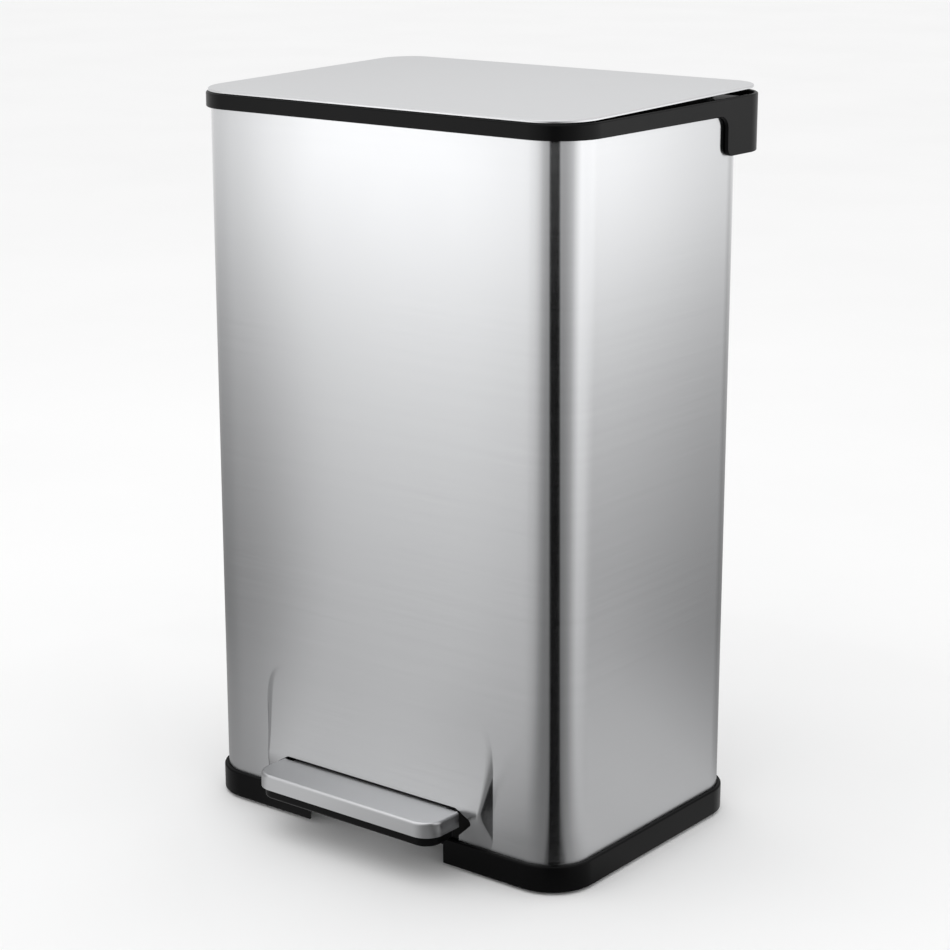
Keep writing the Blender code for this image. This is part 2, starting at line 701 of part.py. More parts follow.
def make_lid_crank():
    """Steel crank whose radial slot takes the top end of the lift rod."""
    angle = math.radians(-140) - LID_TILT
    ray = Vector((math.cos(angle), math.sin(angle)))
    near, far = ray * 0.0244, ray * 0.0326
    crank = slab([capsule(on_lid(*near), on_lid(*far), 0.0072)], -CRANK_HALF, CRANK_HALF, "X")
    stem = capsule(on_lid(-0.0265, -0.0150), on_lid(-0.0265, 0.0045), 0.0070)
    fuse(crank, slab([stem], -CRANK_HALF, CRANK_HALF, "X"))
    flange_y = (HINGE_Y - 0.039, HINGE_Y - 0.015)
    flange_z = (HINGE_Z + FLANGE_LOW, HINGE_Z + FRAME_LOW - GAP)
    fuse(crank, block((-0.0145, 0.0145), flange_y, flange_z))
    cut(crank, slab([capsule(on_lid(*near), on_lid(*far), 0.0032)], -0.010, 0.010, "X"))
    number = 0
    for x in (-CRANK_SCREW_X, CRANK_SCREW_X):
        for y in CRANK_SCREW_Y:
            hole_y, hole_z = on_lid(y, FLANGE_LOW)
            start, end = (x, hole_y, hole_z - 0.002), (x, hole_y, hole_z + 0.004)
            cut(crank, rod_solid(SMALL_SCREW_HOLE, start, end, 12))
            number += 1
            item = screw(f"crank_screw_{number}", 0.0028, 0.0018, 0.0012, 0.0040,
                         (x, hole_y, hole_z - GAP), (0, 0, -1), ZINC)
            place = item.matrix_basis.copy()
            finish_lid_part(item, item.name, ZINC)
            item.matrix_basis = item.matrix_basis @ place
    return finish_lid_part(crank, "lid_crank", ZINC)


def make_bumpers():
    """Rubber dots under the lid frame that land on the collar's deck."""
    profile = [(0, 0.0), (BUMPER_RADIUS, 0.0), (BUMPER_RADIUS, 0.0005 - BUMPER_HIGH),
               (BUMPER_RADIUS - 0.001, -BUMPER_HIGH), (0, -BUMPER_HIGH)]
    number = 0
    for side in (-1, 1):
        for x, y in BUMPER_SPOTS:
            number += 1
            place_y, place_z = on_lid(y, FRAME_LOW - GAP)
            spot = (side * x, place_y, place_z)
            item = turned(f"lid_bumper_{number}", profile, RUBBER, spot, steps=16)
            place = item.matrix_basis.copy()
            finish_lid_part(item, item.name, RUBBER)
            item.matrix_basis = item.matrix_basis @ place


# ---------------------------------------------------------------- pedal and linkage

def make_pedal_plate():
    plan = rectangle(PEDAL_X, PEDAL_FRONT, PEDAL_BACK, PEDAL_RADIUS, 0.002)
    plate = slab([plan], PEDAL_HIGH - PEDAL_SKIRT, PEDAL_HIGH)
    inside = rectangle(PEDAL_X - PEDAL_SHEET, PEDAL_FRONT + PEDAL_SHEET, PEDAL_BACK + 0.010,
                       PEDAL_RADIUS - PEDAL_SHEET, 0.002)
    cut(plate, slab([inside], 0.020, PEDAL_HIGH - PEDAL_SHEET))
    cut(plate, block((-0.150, 0.150), (CORE_BACK, -0.100), (0.020, PEDAL_HIGH - PEDAL_SHEET)))
    cut(plate, block((TONGUE_X, 0.150), (CORE_BACK, -0.100), (0.020, 0.080)))
    cut(plate, block((-0.150, -TONGUE_X), (CORE_BACK, -0.100), (0.020, 0.080)))
    return finish(plate, "pedal_plate", STEEL, PEDAL_JOINT)


def lever_path():
    """Centre line of the lever's steel strap, from under the pedal to its tail."""
    tail = Vector((ROD_LOW_Y - PIVOT_Y, ROD_LOW_Z - PIVOT_Z))
    pivot = Vector((PIVOT_Y, PIVOT_Z))
    return [(STRAP_FRONT, STRAP_Z), (-0.124, STRAP_Z), (-0.094, 0.0360), pivot, pivot + tail * 0.86]


def make_pedal_core():
    inset = PEDAL_SHEET + GAP
    plan = rectangle(PEDAL_X - inset, PEDAL_FRONT + inset, CORE_BACK, PEDAL_RADIUS - inset, 0.004)
    core = slab([plan], CORE_STEP, PEDAL_HIGH - inset)
    low_plan = rectangle(PEDAL_X - inset - 0.002, PEDAL_FRONT + inset + 0.002, CORE_BACK,
                         PEDAL_RADIUS - inset - 0.002, 0.004)
    fuse(core, slab([low_plan], CORE_LOW, CORE_STEP + 0.001))
    pocket_x = STRAP_HALF + GAP
    pocket_z = (STRAP_Z - 0.0023, STRAP_Z + 0.0023)
    cut(core, block((-pocket_x, pocket_x), (STRAP_FRONT - GAP, -0.130), pocket_z))
    for x in PEDAL_SCREW_X:
        low, seat, high = ((x, PEDAL_SCREW_Y, z) for z in (0.028, PEDAL_SCREW_Z + GAP, STRAP_Z))
        cut(core, rod_solid(SCREW_HOLE, low, high, 12))
        cut(core, rod_solid(0.0042, low, seat, 16))
    return finish(core, "pedal_core", PLASTIC, PEDAL_JOINT)


def make_pedal_lever():
    lever = slab([strap(lever_path(), STRAP_SHEET)], -STRAP_HALF, STRAP_HALF, "X")
    fuse(lever, rod_solid(TUBE_RADIUS, (-TUBE_HALF, PIVOT_Y, PIVOT_Z), (TUBE_HALF, PIVOT_Y, PIVOT_Z)))
    pivot = Vector((PIVOT_Y, PIVOT_Z))
    tail = Vector((ROD_LOW_Y - PIVOT_Y, ROD_LOW_Z - PIVOT_Z)).normalized()
    cross = strap([pivot + tail * 0.138, pivot + tail * 0.156], 0.0038)
    fuse(lever, slab([cross], -0.061, 0.0215, "X"))
    ears = ((-0.002, 0.002, ROD_LOW_Y), (DAMPER_X - 0.010, DAMPER_X - 0.006, DAMPER_Y))
    for low, high, y in ears:
        far = (y - PIVOT_Y) / tail.x
        ear = capsule(pivot + tail * 0.146, pivot + tail * far, EAR_RADIUS)
        fuse(lever, slab([ear], low, high, "X"))
        hole = capsule(pivot + tail * (far - 0.0013), pivot + tail * (far + 0.0002), 0.0025)
        cut(lever, slab([hole], low - 0.0005, high + 0.0005, "X"))
    cut(lever, rod_solid(AXLE_RADIUS + GAP, (-0.035, PIVOT_Y, PIVOT_Z), (0.035, PIVOT_Y, PIVOT_Z)))
    for x in PEDAL_SCREW_X:
        low, high = (x, PEDAL_SCREW_Y, STRAP_Z - 0.0045), (x, PEDAL_SCREW_Y, STRAP_Z + 0.0075)
        cut(lever, rod_solid(SCREW_HOLE, low, high, 12))
    return finish(lever, "pedal_lever", ZINC, PEDAL_JOINT)


def make_pedal_screws():
    for number, x in enumerate(PEDAL_SCREW_X, 1):
        screw(f"pedal_screw_{number}", 0.0036, 0.0022, 0.0015, 0.0098,
              (x, PEDAL_SCREW_Y, PEDAL_SCREW_Z), (0, 0, -1), ZINC, PEDAL_JOINT)


def make_lever_bracket():
    """Folded steel bracket that hangs the lever's axle under the plinth."""
    high = PAD_LOW - GAP
    inside_x, inside_high = BRACKET_X - BRACKET_SHEET, high - BRACKET_SHEET
    channel = fillet([(-BRACKET_X, BRACKET_LOW, 0), (-inside_x, BRACKET_LOW, 0),
                      (-inside_x, inside_high, 0), (inside_x, inside_high, 0),
                      (inside_x, BRACKET_LOW, 0), (BRACKET_X, BRACKET_LOW, 0),
                      (BRACKET_X, high, 0.0026), (-BRACKET_X, high, 0.0026)])
    bracket = slab([channel], *BRACKET_Y, "Y")
    cut(bracket, rod_solid(AXLE_RADIUS + GAP, (-0.040, PIVOT_Y, PIVOT_Z), (0.040, PIVOT_Y, PIVOT_Z)))
    number = 0
    for x in (-BRACKET_SCREW_X, BRACKET_SCREW_X):
        for y in BRACKET_SCREW_Y:
            cut(bracket, rod_solid(SCREW_HOLE, (x, y, 0.050), (x, y, 0.060), 12))
            number += 1
            screw(f"bracket_screw_{number}", 0.0032, 0.0020, 0.0014, 0.0070,
                  (x, y, inside_high - GAP), (0, 0, -1), ZINC)
    finish(bracket, "lever_bracket", ZINC)


def make_pedal_axle():
    edge = 0.0006
    profile = [(0, AXLE_HALF), (AXLE_RADIUS - edge, AXLE_HALF), (AXLE_RADIUS, AXLE_HALF - edge),
               (AXLE_RADIUS, edge - AXLE_HALF), (AXLE_RADIUS - edge, -AXLE_HALF), (0, -AXLE_HALF)]
    turned("pedal_axle", profile, ZINC, (0, PIVOT_Y, PIVOT_Z), (1, 0, 0))
    for side, name in ((-1, "left"), (1, "right")):
        washer(f"axle_clip_{name}", AXLE_RADIUS + 0.0002, 0.0065, CLIP_SHEET,
               (side * (BRACKET_X + GAP), PIVOT_Y, PIVOT_Z), (side, 0, 0), ZINC)


def make_wire(name, corners, bend, radius, material, joint):
    """Round wire through its corners, each bent to the same inner radius."""
    points = [Vector(corners[0])]
    for before, corner, after in zip(corners, corners[1:], corners[2:]):
        corner = Vector(corner)
        toward = (Vector(before) - corner).normalized()
        onward = (Vector(after) - corner).normalized()
        half = toward.angle(onward) / 2
        centre = corner + (toward + onward).normalized() * (bend / math.sin(half))
        start = corner + toward * (bend / math.tan(half)) - centre
        end = corner + onward * (bend / math.tan(half)) - centre
        sweep = start.angle(end)
        count = max(2, round(sweep / math.radians(18)))
        for step in range(count + 1):
            share = step / count
            mix = start * math.sin((1 - share) * sweep) + end * math.sin(share * sweep)
            points.append(centre + mix / math.sin(sweep))
    points.append(Vector(corners[-1]))
    curve = bpy.data.curves.new(name, "CURVE")
    curve.dimensions = "3D"
    curve.bevel_depth = radius
    curve.bevel_resolution = 2
    curve.use_fill_caps = True
    spline = curve.splines.new("POLY")
    spline.points.add(len(points) - 1)
    for point, place in zip(spline.points, points):
        point.co = (*place, 1)
    item = add_object(name, curve_to_mesh(curve, Matrix.Identity(4)))
    return finish(item, name, material, joint)


def make_lift_rod():
    low = Vector((ROD_X, ROD_LOW_Y, ROD_LOW_Z))
    high = Vector((ROD_X, ROD_HIGH_Y, ROD_HIGH_Z))
    end = Vector((ROD_HOOK_X - ROD_X, 0, 0))
    route = [low + end, low, (ROD_X, ROD_LOW_Y, ROD_JOG[0]), (ROD_X, ROD_HIGH_Y, ROD_JOG[1]),
             high, high + end]
    make_wire("lift_rod", route, WIRE_BEND, ROD_RADIUS, ZINC, ROD_JOINT)
    for name, y, z in (("lower", ROD_LOW_Y, ROD_LOW_Z), ("upper", ROD_HIGH_Y, ROD_HIGH_Z)):
        washer(f"rod_clip_{name}", ROD_RADIUS + 0.0002, CLIP_RADIUS, CLIP_SHEET,
               (-0.0026, y, z), (-1, 0, 0), ZINC, ROD_JOINT)


def make_rod_guides():
    """Plastic eyes on the inside of the back wall that keep the rod upright."""
    back = SHELL_Y - SHELL_SHEET - GAP
    front = ROD_LOW_Y - 0.006
    plan = fillet([(ROD_X - 0.006, front, 0.004), (ROD_X + 0.006, front, 0.004),
                   (ROD_X + 0.012, back, 0), (ROD_X - 0.012, back, 0)])
    for name, z in GUIDE_LEVELS.items():
        guide = slab([plan, circle((ROD_X, ROD_LOW_Y), ROD_RADIUS + 0.0005)], z, z + GUIDE_HIGH)
        finish(guide, f"rod_guide_{name}", NYLON)


def make_damper():
    body = [(0, DAMPER_HIGH), (DAMPER_RADIUS - 0.001, DAMPER_HIGH),
            (DAMPER_RADIUS, DAMPER_HIGH - 0.001), (DAMPER_RADIUS, DAMPER_LOW + 0.001),
            (DAMPER_RADIUS - 0.001, DAMPER_LOW), (ROD_RADIUS + 0.0004, DAMPER_LOW),
            (ROD_RADIUS + 0.0004, DAMPER_LOW + 0.004),
            (DAMPER_RADIUS - DAMPER_WALL, DAMPER_LOW + 0.004),
            (DAMPER_RADIUS - DAMPER_WALL, DAMPER_HIGH - 0.003), (0, DAMPER_HIGH - 0.003)]
    turned("damper_cylinder", body, ZINC, (DAMPER_X, DAMPER_Y, 0))
    tail_z = ROD_LOW_Z + (ROD_LOW_Y - DAMPER_Y) * (PIVOT_Z - ROD_LOW_Z) / (ROD_LOW_Y - PIVOT_Y)
    foot = Vector((DAMPER_X, DAMPER_Y, tail_z))
    route = [foot + Vector((-0.0135, 0, 0)), foot, (DAMPER_X, DAMPER_Y, 0.090)]
    rod = make_wire("damper_rod", route, WIRE_BEND, ROD_RADIUS, STEEL, DAMPER_JOINT)
    start, end = (DAMPER_X, DAMPER_Y, 0.0880), (DAMPER_X, DAMPER_Y, 0.0940)
    fuse(rod, rod_solid(DAMPER_RADIUS - DAMPER_WALL - 0.0005, start, end))
    washer("damper_clip", ROD_RADIUS + 0.0002, CLIP_RADIUS, CLIP_SHEET,
           (DAMPER_X - 0.0106, DAMPER_Y, tail_z), (-1, 0, 0), ZINC, DAMPER_JOINT)


def make_damper_bracket():
    back = SHELL_Y - SHELL_SHEET - GAP
    low, high = DAMPER_BAND
    bracket = slab([circle((DAMPER_X, DAMPER_Y), DAMPER_RADIUS + 0.0022)], low, high)
    pad_x = (DAMPER_X - 0.016, DAMPER_X + 0.016)
    fuse(bracket, block(pad_x, (back - 0.003, back), (low - 0.008, high + 0.008)))
    start, end = (DAMPER_X, DAMPER_Y, low - 0.001), (DAMPER_X, DAMPER_Y, high + 0.001)
    cut(bracket, rod_solid(DAMPER_RADIUS + GAP, start, end, 32))
    return finish(bracket, "damper_bracket", NYLON)


# ---------------------------------------------------------------- bucket

def bucket_outline(inset, draft):
    move = inset + draft
    radius = BUCKET_RADIUS - move * 0.5
    return rectangle(BUCKET_X - move, BUCKET_FRONT + move, BUCKET_BACK - move, radius)


def make_inner_bucket():
    low = PLINTH_HIGH + GAP
    bucket = frustum(bucket_outline(0, BUCKET_DRAFT), bucket_outline(0, 0), low, BUCKET_HIGH)
    rim = rectangle(BUCKET_X + RIM_OUT, BUCKET_FRONT - RIM_OUT, BUCKET_BACK + RIM_OUT, 0.033)
    fuse(bucket, slab([rim], BUCKET_HIGH - RIM_DEPTH, BUCKET_HIGH - 0.00001))
    reach = RIM_OUT - RIM_SHEET
    rim_hollow = [rectangle(BUCKET_X + reach, BUCKET_FRONT - reach, BUCKET_BACK + reach, 0.031),
                  rectangle(BUCKET_X, BUCKET_FRONT, BUCKET_BACK, BUCKET_RADIUS)]
    cut(bucket, slab(rim_hollow, BUCKET_HIGH - RIM_DEPTH - 0.001, BUCKET_HIGH - RIM_SHEET))
    inside_low = bucket_outline(BUCKET_WALL, BUCKET_DRAFT)
    inside_high = bucket_outline(BUCKET_WALL, -0.0001)
    cut(bucket, frustum(inside_low, inside_high, low + BUCKET_FLOOR, BUCKET_HIGH + 0.005))
    bend = 0.009
    grip = fillet([(-GRIP_X, GRIP_LOW, bend), (GRIP_X, GRIP_LOW, bend),
                   (GRIP_X, GRIP_HIGH, bend), (-GRIP_X, GRIP_HIGH, bend)])
    cut(bucket, slab([grip], -0.220, 0.220, "X"))
    return finish(bucket, "inner_bucket", BUCKET_PLASTIC, BUCKET_JOINT)


# ---------------------------------------------------------------- build

clear_scene()
PARTS = new_collection(OBJECT_NAME)
CUTTERS = new_collection("cutters")

STEEL = new_material("brushed_steel", (0.62, 0.62, 0.63), 0.30, 1.0)
ZINC = new_material("zinc_plated_steel", (0.48, 0.49, 0.50), 0.35, 1.0)
PLASTIC = new_material("black_plastic", (0.012, 0.012, 0.013), 0.38)
BUCKET_PLASTIC = new_material("grey_plastic", (0.10, 0.10, 0.105), 0.50)
NYLON = new_material("white_nylon", (0.70, 0.70, 0.68), 0.45)
RUBBER = new_material("black_rubber", (0.02, 0.02, 0.02), 0.80)

MASTER = new_empty("can_middle", (0, BODY_SHIFT_Y, 0))
LID_JOINT = new_empty("lid_hinge_axis", (0, HINGE_Y, HINGE_Z), MASTER)
PEDAL_JOINT = new_empty("pedal_hinge_axis", (0, PIVOT_Y, PIVOT_Z), MASTER)
ROD_JOINT = new_empty("lift_rod_axis", (ROD_X, ROD_LOW_Y, ROD_LOW_Z), MASTER)
DAMPER_JOINT = new_empty("damper_axis", (DAMPER_X, DAMPER_Y, DAMPER_LOW), MASTER)
BUCKET_JOINT = new_empty("bucket_axis", (0, 0, PLINTH_HIGH), MASTER)

make_outer_shell()
make_base_tray()
make_feet()
make_top_collar()
make_hinge_cover()
make_hinge_pins()
make_lid_plate()
make_lid_frame()
make_lid_crank()
make_bumpers()
make_pedal_plate()
make_pedal_core()
make_pedal_lever()
make_pedal_screws()
make_lever_bracket()
make_pedal_axle()
make_lift_rod()
make_rod_guides()
make_damper()
make_damper_bracket()
make_inner_bucket()
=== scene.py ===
"""Looks of the rectangular pedal trash can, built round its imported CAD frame.

Lengths are in metres. Shapes are made with Y measured from the middle of the steel shell and
are then moved into the frame's axes; lid parts are made square to the lid and tipped with it.
"""

import json
import math

import bmesh
import bpy
from mathutils import Matrix, Vector


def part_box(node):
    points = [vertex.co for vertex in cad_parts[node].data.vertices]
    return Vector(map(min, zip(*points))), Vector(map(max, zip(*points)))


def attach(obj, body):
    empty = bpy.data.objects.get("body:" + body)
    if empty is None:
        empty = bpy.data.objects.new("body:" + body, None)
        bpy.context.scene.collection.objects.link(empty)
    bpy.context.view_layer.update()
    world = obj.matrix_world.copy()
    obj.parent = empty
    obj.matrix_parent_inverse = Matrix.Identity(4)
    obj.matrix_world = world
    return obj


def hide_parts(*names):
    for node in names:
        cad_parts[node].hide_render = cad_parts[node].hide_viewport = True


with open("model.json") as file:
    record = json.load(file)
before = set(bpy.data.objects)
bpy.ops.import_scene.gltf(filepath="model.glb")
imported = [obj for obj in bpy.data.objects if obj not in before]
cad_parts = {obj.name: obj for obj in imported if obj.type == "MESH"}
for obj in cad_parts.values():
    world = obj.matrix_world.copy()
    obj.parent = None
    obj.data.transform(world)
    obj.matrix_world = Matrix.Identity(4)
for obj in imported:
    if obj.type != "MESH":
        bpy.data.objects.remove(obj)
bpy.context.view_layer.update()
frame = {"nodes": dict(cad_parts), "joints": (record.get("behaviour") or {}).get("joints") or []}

JOINTS = {joint["name"]: joint for joint in frame["joints"]}
SHELL_LOW, SHELL_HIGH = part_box("outer_shell")
TRAY_LOW, TRAY_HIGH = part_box("base_tray")
MIDDLE_Y = (TRAY_LOW.y + TRAY_HIGH.y) / 2
BODY = Matrix.Translation((0, MIDDLE_Y, 0))
HINGE = Vector(JOINTS["lid_hinge"]["pos_m"]) - Vector((0, MIDDLE_Y, 0))
LID_TILT = math.radians(1.35)
TIP_LID = (BODY @ Matrix.Translation(HINGE) @ Matrix.Rotation(LID_TILT, 4, "X")
           @ Matrix.Translation(-HINGE))

SHELL_X = SHELL_HIGH.x
SHELL_Y = SHELL_HIGH.y - MIDDLE_Y
SHELL_RADIUS = 0.038
TRIM_OUT = TRAY_HIGH.x - SHELL_X
BASE_LOW = TRAY_LOW.z
BASE_HIGH = 0.026
HOUSING_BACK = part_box("top_collar")[1].y - MIDDLE_Y
CORNER_STEPS = 18
GAP = 0.0003  # clearance between parts that fit into each other
SHEET = 0.0005
LIP_OUT = SHEET + GAP  # the trims' lips stand this far inside the shell's face
WALL = 0.0025
CRANK_NOTCH_X = (-0.0095, 0.0185)
LUG_X = 0.150
SCREW_X = (-0.015, 0.0, 0.015)


# ---------------------------------------------------------------- mesh helpers

def outline(half_x, front, back, radius, back_radius=None, steps=CORNER_STEPS):
    """Rounded rectangle in plan, from the front right corner round to the front left one."""
    back_radius = radius if back_radius is None else back_radius
    corners = ((half_x, front, 1, -1, radius, -90), (half_x, back, 1, 1, back_radius, 0),
               (-half_x, back, -1, 1, back_radius, 90), (-half_x, front, -1, -1, radius, 180))
    points = []
    for x, y, side, end, bend, start in corners:
        centre = Vector((x - side * bend, y - end * bend))
        for step in range(steps + 1):
            angle = math.radians(start + 90 * step / steps)
            points.append(centre + Vector((math.cos(angle), math.sin(angle))) * bend)
    return points


def shell_plan(offset):
    """Plan outline that runs at an even distance outside the shell's face."""
    return outline(SHELL_X + offset, -SHELL_Y - offset, SHELL_Y + offset, SHELL_RADIUS + offset)


def fillet(corners, steps=6):
    """Closed outline through (x, y, radius) corners; a radius of zero stays sharp."""
    points = []
    for index, (x, y, radius) in enumerate(corners):
        corner = Vector((x, y))
        before = (Vector(corners[index - 1][:2]) - corner).normalized()
        after = (Vector(corners[(index + 1) % len(corners)][:2]) - corner).normalized()
        if radius == 0:
            points.append(corner)
            continue
        half = before.angle(after) / 2
        centre = corner + (before + after).normalized() * (radius / math.sin(half))
        start = corner + before * (radius / math.tan(half)) - centre
        end = corner + after * (radius / math.tan(half)) - centre
        sweep = start.angle(end)
        for step in range(steps + 1):
            share = step / steps
            mix = start * math.sin((1 - share) * sweep) + end * math.sin(share * sweep)
            points.append(centre + mix / math.sin(sweep))
    return points


def capsule(start, end, radius, steps=14):
    """Outline of a slot or a rounded arm between two centres."""
    start, end = Vector(start), Vector(end)
    along = (end - start).normalized()
    across = Vector((-along.y, along.x))
    points = []
    for centre, turn in ((end, -1), (start, 1)):
        for step in range(steps + 1):
            angle = math.pi * step / steps
            ray = across * (turn * math.cos(angle)) - along * (turn * math.sin(angle))
            points.append(centre + ray * radius)
    return points


def circle(centre, radius, steps=40):
    turn = 2 * math.pi / steps
    return [Vector((centre[0] + radius * math.cos(turn * step),
                    centre[1] + radius * math.sin(turn * step))) for step in range(steps)]


def arc(centre, radius, start, end, steps=5):
    """Points of an arc in a profile, angles in degrees."""
    points = []
    for step in range(steps + 1):
        angle = math.radians(start + (end - start) * step / steps)
        points.append((centre[0] + radius * math.cos(angle), centre[1] + radius * math.sin(angle)))
    return points


def mesh_object(name, work):
    """Object from a finished bmesh."""
    bmesh.ops.recalc_face_normals(work, faces=work.faces)
    mesh = bpy.data.meshes.new(name)
    work.to_mesh(mesh)
    work.free()
    item = bpy.data.objects.new(name, mesh)
    bpy.context.scene.collection.objects.link(item)
    return item


def loft(name, rings, closed=False):
    """Skin through rings with equal numbers of points; its ends are capped unless it closes."""
    work = bmesh.new()
    loops = [[work.verts.new(point) for point in ring] for ring in rings]
    pairs = list(zip(loops, loops[1:]))
    if closed:
        pairs.append((loops[-1], loops[0]))
    else:
        work.faces.new(loops[0])
        work.faces.new(loops[-1])
    for low, high in pairs:
        for index in range(len(low)):
            work.faces.new((low[index - 1], low[index], high[index], high[index - 1]))
    return mesh_object(name, work)


def plan_loft(name, plan, profile, closed=False, steps=CORNER_STEPS):
    """Loft round a rounded rectangle; the profile is (offset outward, height) points."""
    half_x, front, back, radius, back_radius = plan
    rings = []
    for offset, height in profile:
        points = outline(half_x + offset, front - offset, back + offset, radius + offset,
                         back_radius + offset, steps)
        rings.append([(point.x, point.y, height) for point in points])
    return loft(name, rings, closed)


TURN = {
    "Z": Matrix.Identity(4),
    "X": Matrix(((0, 0, 1, 0), (1, 0, 0, 0), (0, 1, 0, 0), (0, 0, 0, 1))),
    "Y": Matrix(((1, 0, 0, 0), (0, 0, -1, 0), (0, 1, 0, 0), (0, 0, 0, 1))),
}


def slab(outlines, low, high, axis="Z", name="solid"):
    """Solid between two levels of an axis; later outlines are holes in the first."""
    curve = bpy.data.curves.new(name, "CURVE")
    curve.dimensions = "2D"
    curve.fill_mode = "BOTH"
    curve.extrude = (high - low) / 2
    for points in outlines:
        spline = curve.splines.new("POLY")
        spline.points.add(len(points) - 1)
        spline.use_cyclic_u = True
        for point, place in zip(spline.points, points):
            point.co = (place[0], place[1], 0, 1)
    holder = bpy.data.objects.new(name, curve)
    bpy.context.scene.collection.objects.link(holder)
    mesh = bpy.data.meshes.new_from_object(holder.evaluated_get(bpy.context.evaluated_depsgraph_get()))
    bpy.data.objects.remove(holder, do_unlink=True)
    bpy.data.curves.remove(curve)
    middle = (low + high) / 2
    work = bmesh.new()
    work.from_mesh(mesh)
    bpy.data.meshes.remove(mesh)
    bmesh.ops.remove_doubles(work, verts=work.verts, dist=0.00001)
    place = TURN[axis] @ Matrix.Translation((0, 0, middle if axis != "Y" else -middle))
    bmesh.ops.transform(work, matrix=place, verts=work.verts)
    return mesh_object(name, work)


def block(x, y, z, name="solid"):
    low, high = Vector((x[0], y[0], z[0])), Vector((x[1], y[1], z[1]))
    work = bmesh.new()
    place = Matrix.Translation((low + high) / 2) @ Matrix.Diagonal((*(high - low), 1))
    bmesh.ops.create_cube(work, size=1, matrix=place)
    return mesh_object(name, work)


def cylinder(radius, start, end, segments=40):
    start, end = Vector(start), Vector(end)
    turn = (end - start).to_track_quat("Z", "Y").to_matrix().to_4x4()
    work = bmesh.new()
    bmesh.ops.create_cone(work, cap_ends=True, segments=segments, radius1=radius, radius2=radius,
                          depth=(end - start).length, matrix=Matrix.Translation((start + end) / 2) @ turn)
    return mesh_object("solid", work)


def turned(name, profile, place, direction=(0, 0, 1), closed=False, segments=40):
    """Round part from (radius, height) points; its own Z runs along the direction."""
    work = bmesh.new()
    rings = []
    for radius, height in profile:
        if radius == 0:
            rings.append([work.verts.new((0, 0, height))])
            continue
        turn = 2 * math.pi / segments
        rings.append([work.verts.new((radius * math.cos(turn * step), radius * math.sin(turn * step),
                                      height)) for step in range(segments)])
    pairs = list(zip(rings, rings[1:]))
    if closed:
        pairs.append((rings[-1], rings[0]))
    for low, high in pairs:
        for index in range(segments):
            corners = [low[index - 1 if len(low) > 1 else 0], low[index if len(low) > 1 else 0],
                       high[index if len(high) > 1 else 0], high[index - 1 if len(high) > 1 else 0]]
            work.faces.new(list(dict.fromkeys(corners)))
    item = mesh_object(name, work)
    turn = Vector(direction).to_track_quat("Z", "Y").to_matrix().to_4x4()
    item.data.transform(Matrix.Translation(place) @ turn)
    return item


def bake(item):
    """Keep an object's evaluated mesh and drop its modifiers."""
    bpy.context.view_layer.update()
    graph = bpy.context.evaluated_depsgraph_get()
    mesh = bpy.data.meshes.new_from_object(item.evaluated_get(graph))
    item.modifiers.clear()
    item.data = mesh
    return item


def boolean(item, operation, *tools):
    for tool in tools:
        modifier = item.modifiers.new(operation, "BOOLEAN")
        modifier.operation = operation
        modifier.solver = "EXACT"
        modifier.object = tool
        bake(item)
        bpy.data.objects.remove(tool, do_unlink=True)
    return item


def cut(item, *tools):
    return boolean(item, "DIFFERENCE", *tools)


def fuse(item, *tools):
    return boolean(item, "UNION", *tools)


def soften(item, width, angle=40, segments=2):
    """Round an object's sharp edges."""
    work = bmesh.new()
    work.from_mesh(item.data)
    bmesh.ops.dissolve_limit(work, angle_limit=math.radians(0.5), verts=work.verts, edges=work.edges)
    work.to_mesh(item.data)
    work.free()
    bevel = item.modifiers.new("soften", "BEVEL")
    bevel.width = width
    bevel.segments = segments
    bevel.limit_method = "ANGLE"
    bevel.angle_limit = math.radians(angle)
    bevel.miter_outer = "MITER_ARC"
    return bake(item)


def shade(item, angle=38):
    """Smooth shading that keeps hard edges hard and flat faces flat."""
    for polygon in item.data.polygons:
        polygon.use_smooth = True
    item.data.set_sharp_from_angle(angle=math.radians(angle))
    normals = item.modifiers.new("normals", "WEIGHTED_NORMAL")
    normals.keep_sharp = True
    return item


def place(item, name, body, material, slot, replaced, matrix=BODY):
    """Give a finished piece its name, place, material and CAD body."""
    item.name = name
    item.data.transform(matrix)
    item.data.materials.clear()
    item.data.materials.append(material)
    shade(item)
    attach(item, body)
    if replaced:
        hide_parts(*replaced)
    return item


def smooth_step(value):
    value = min(max(value, 0.0), 1.0)
    return value * value * (3 - 2 * value)


# ---------------------------------------------------------------- materials

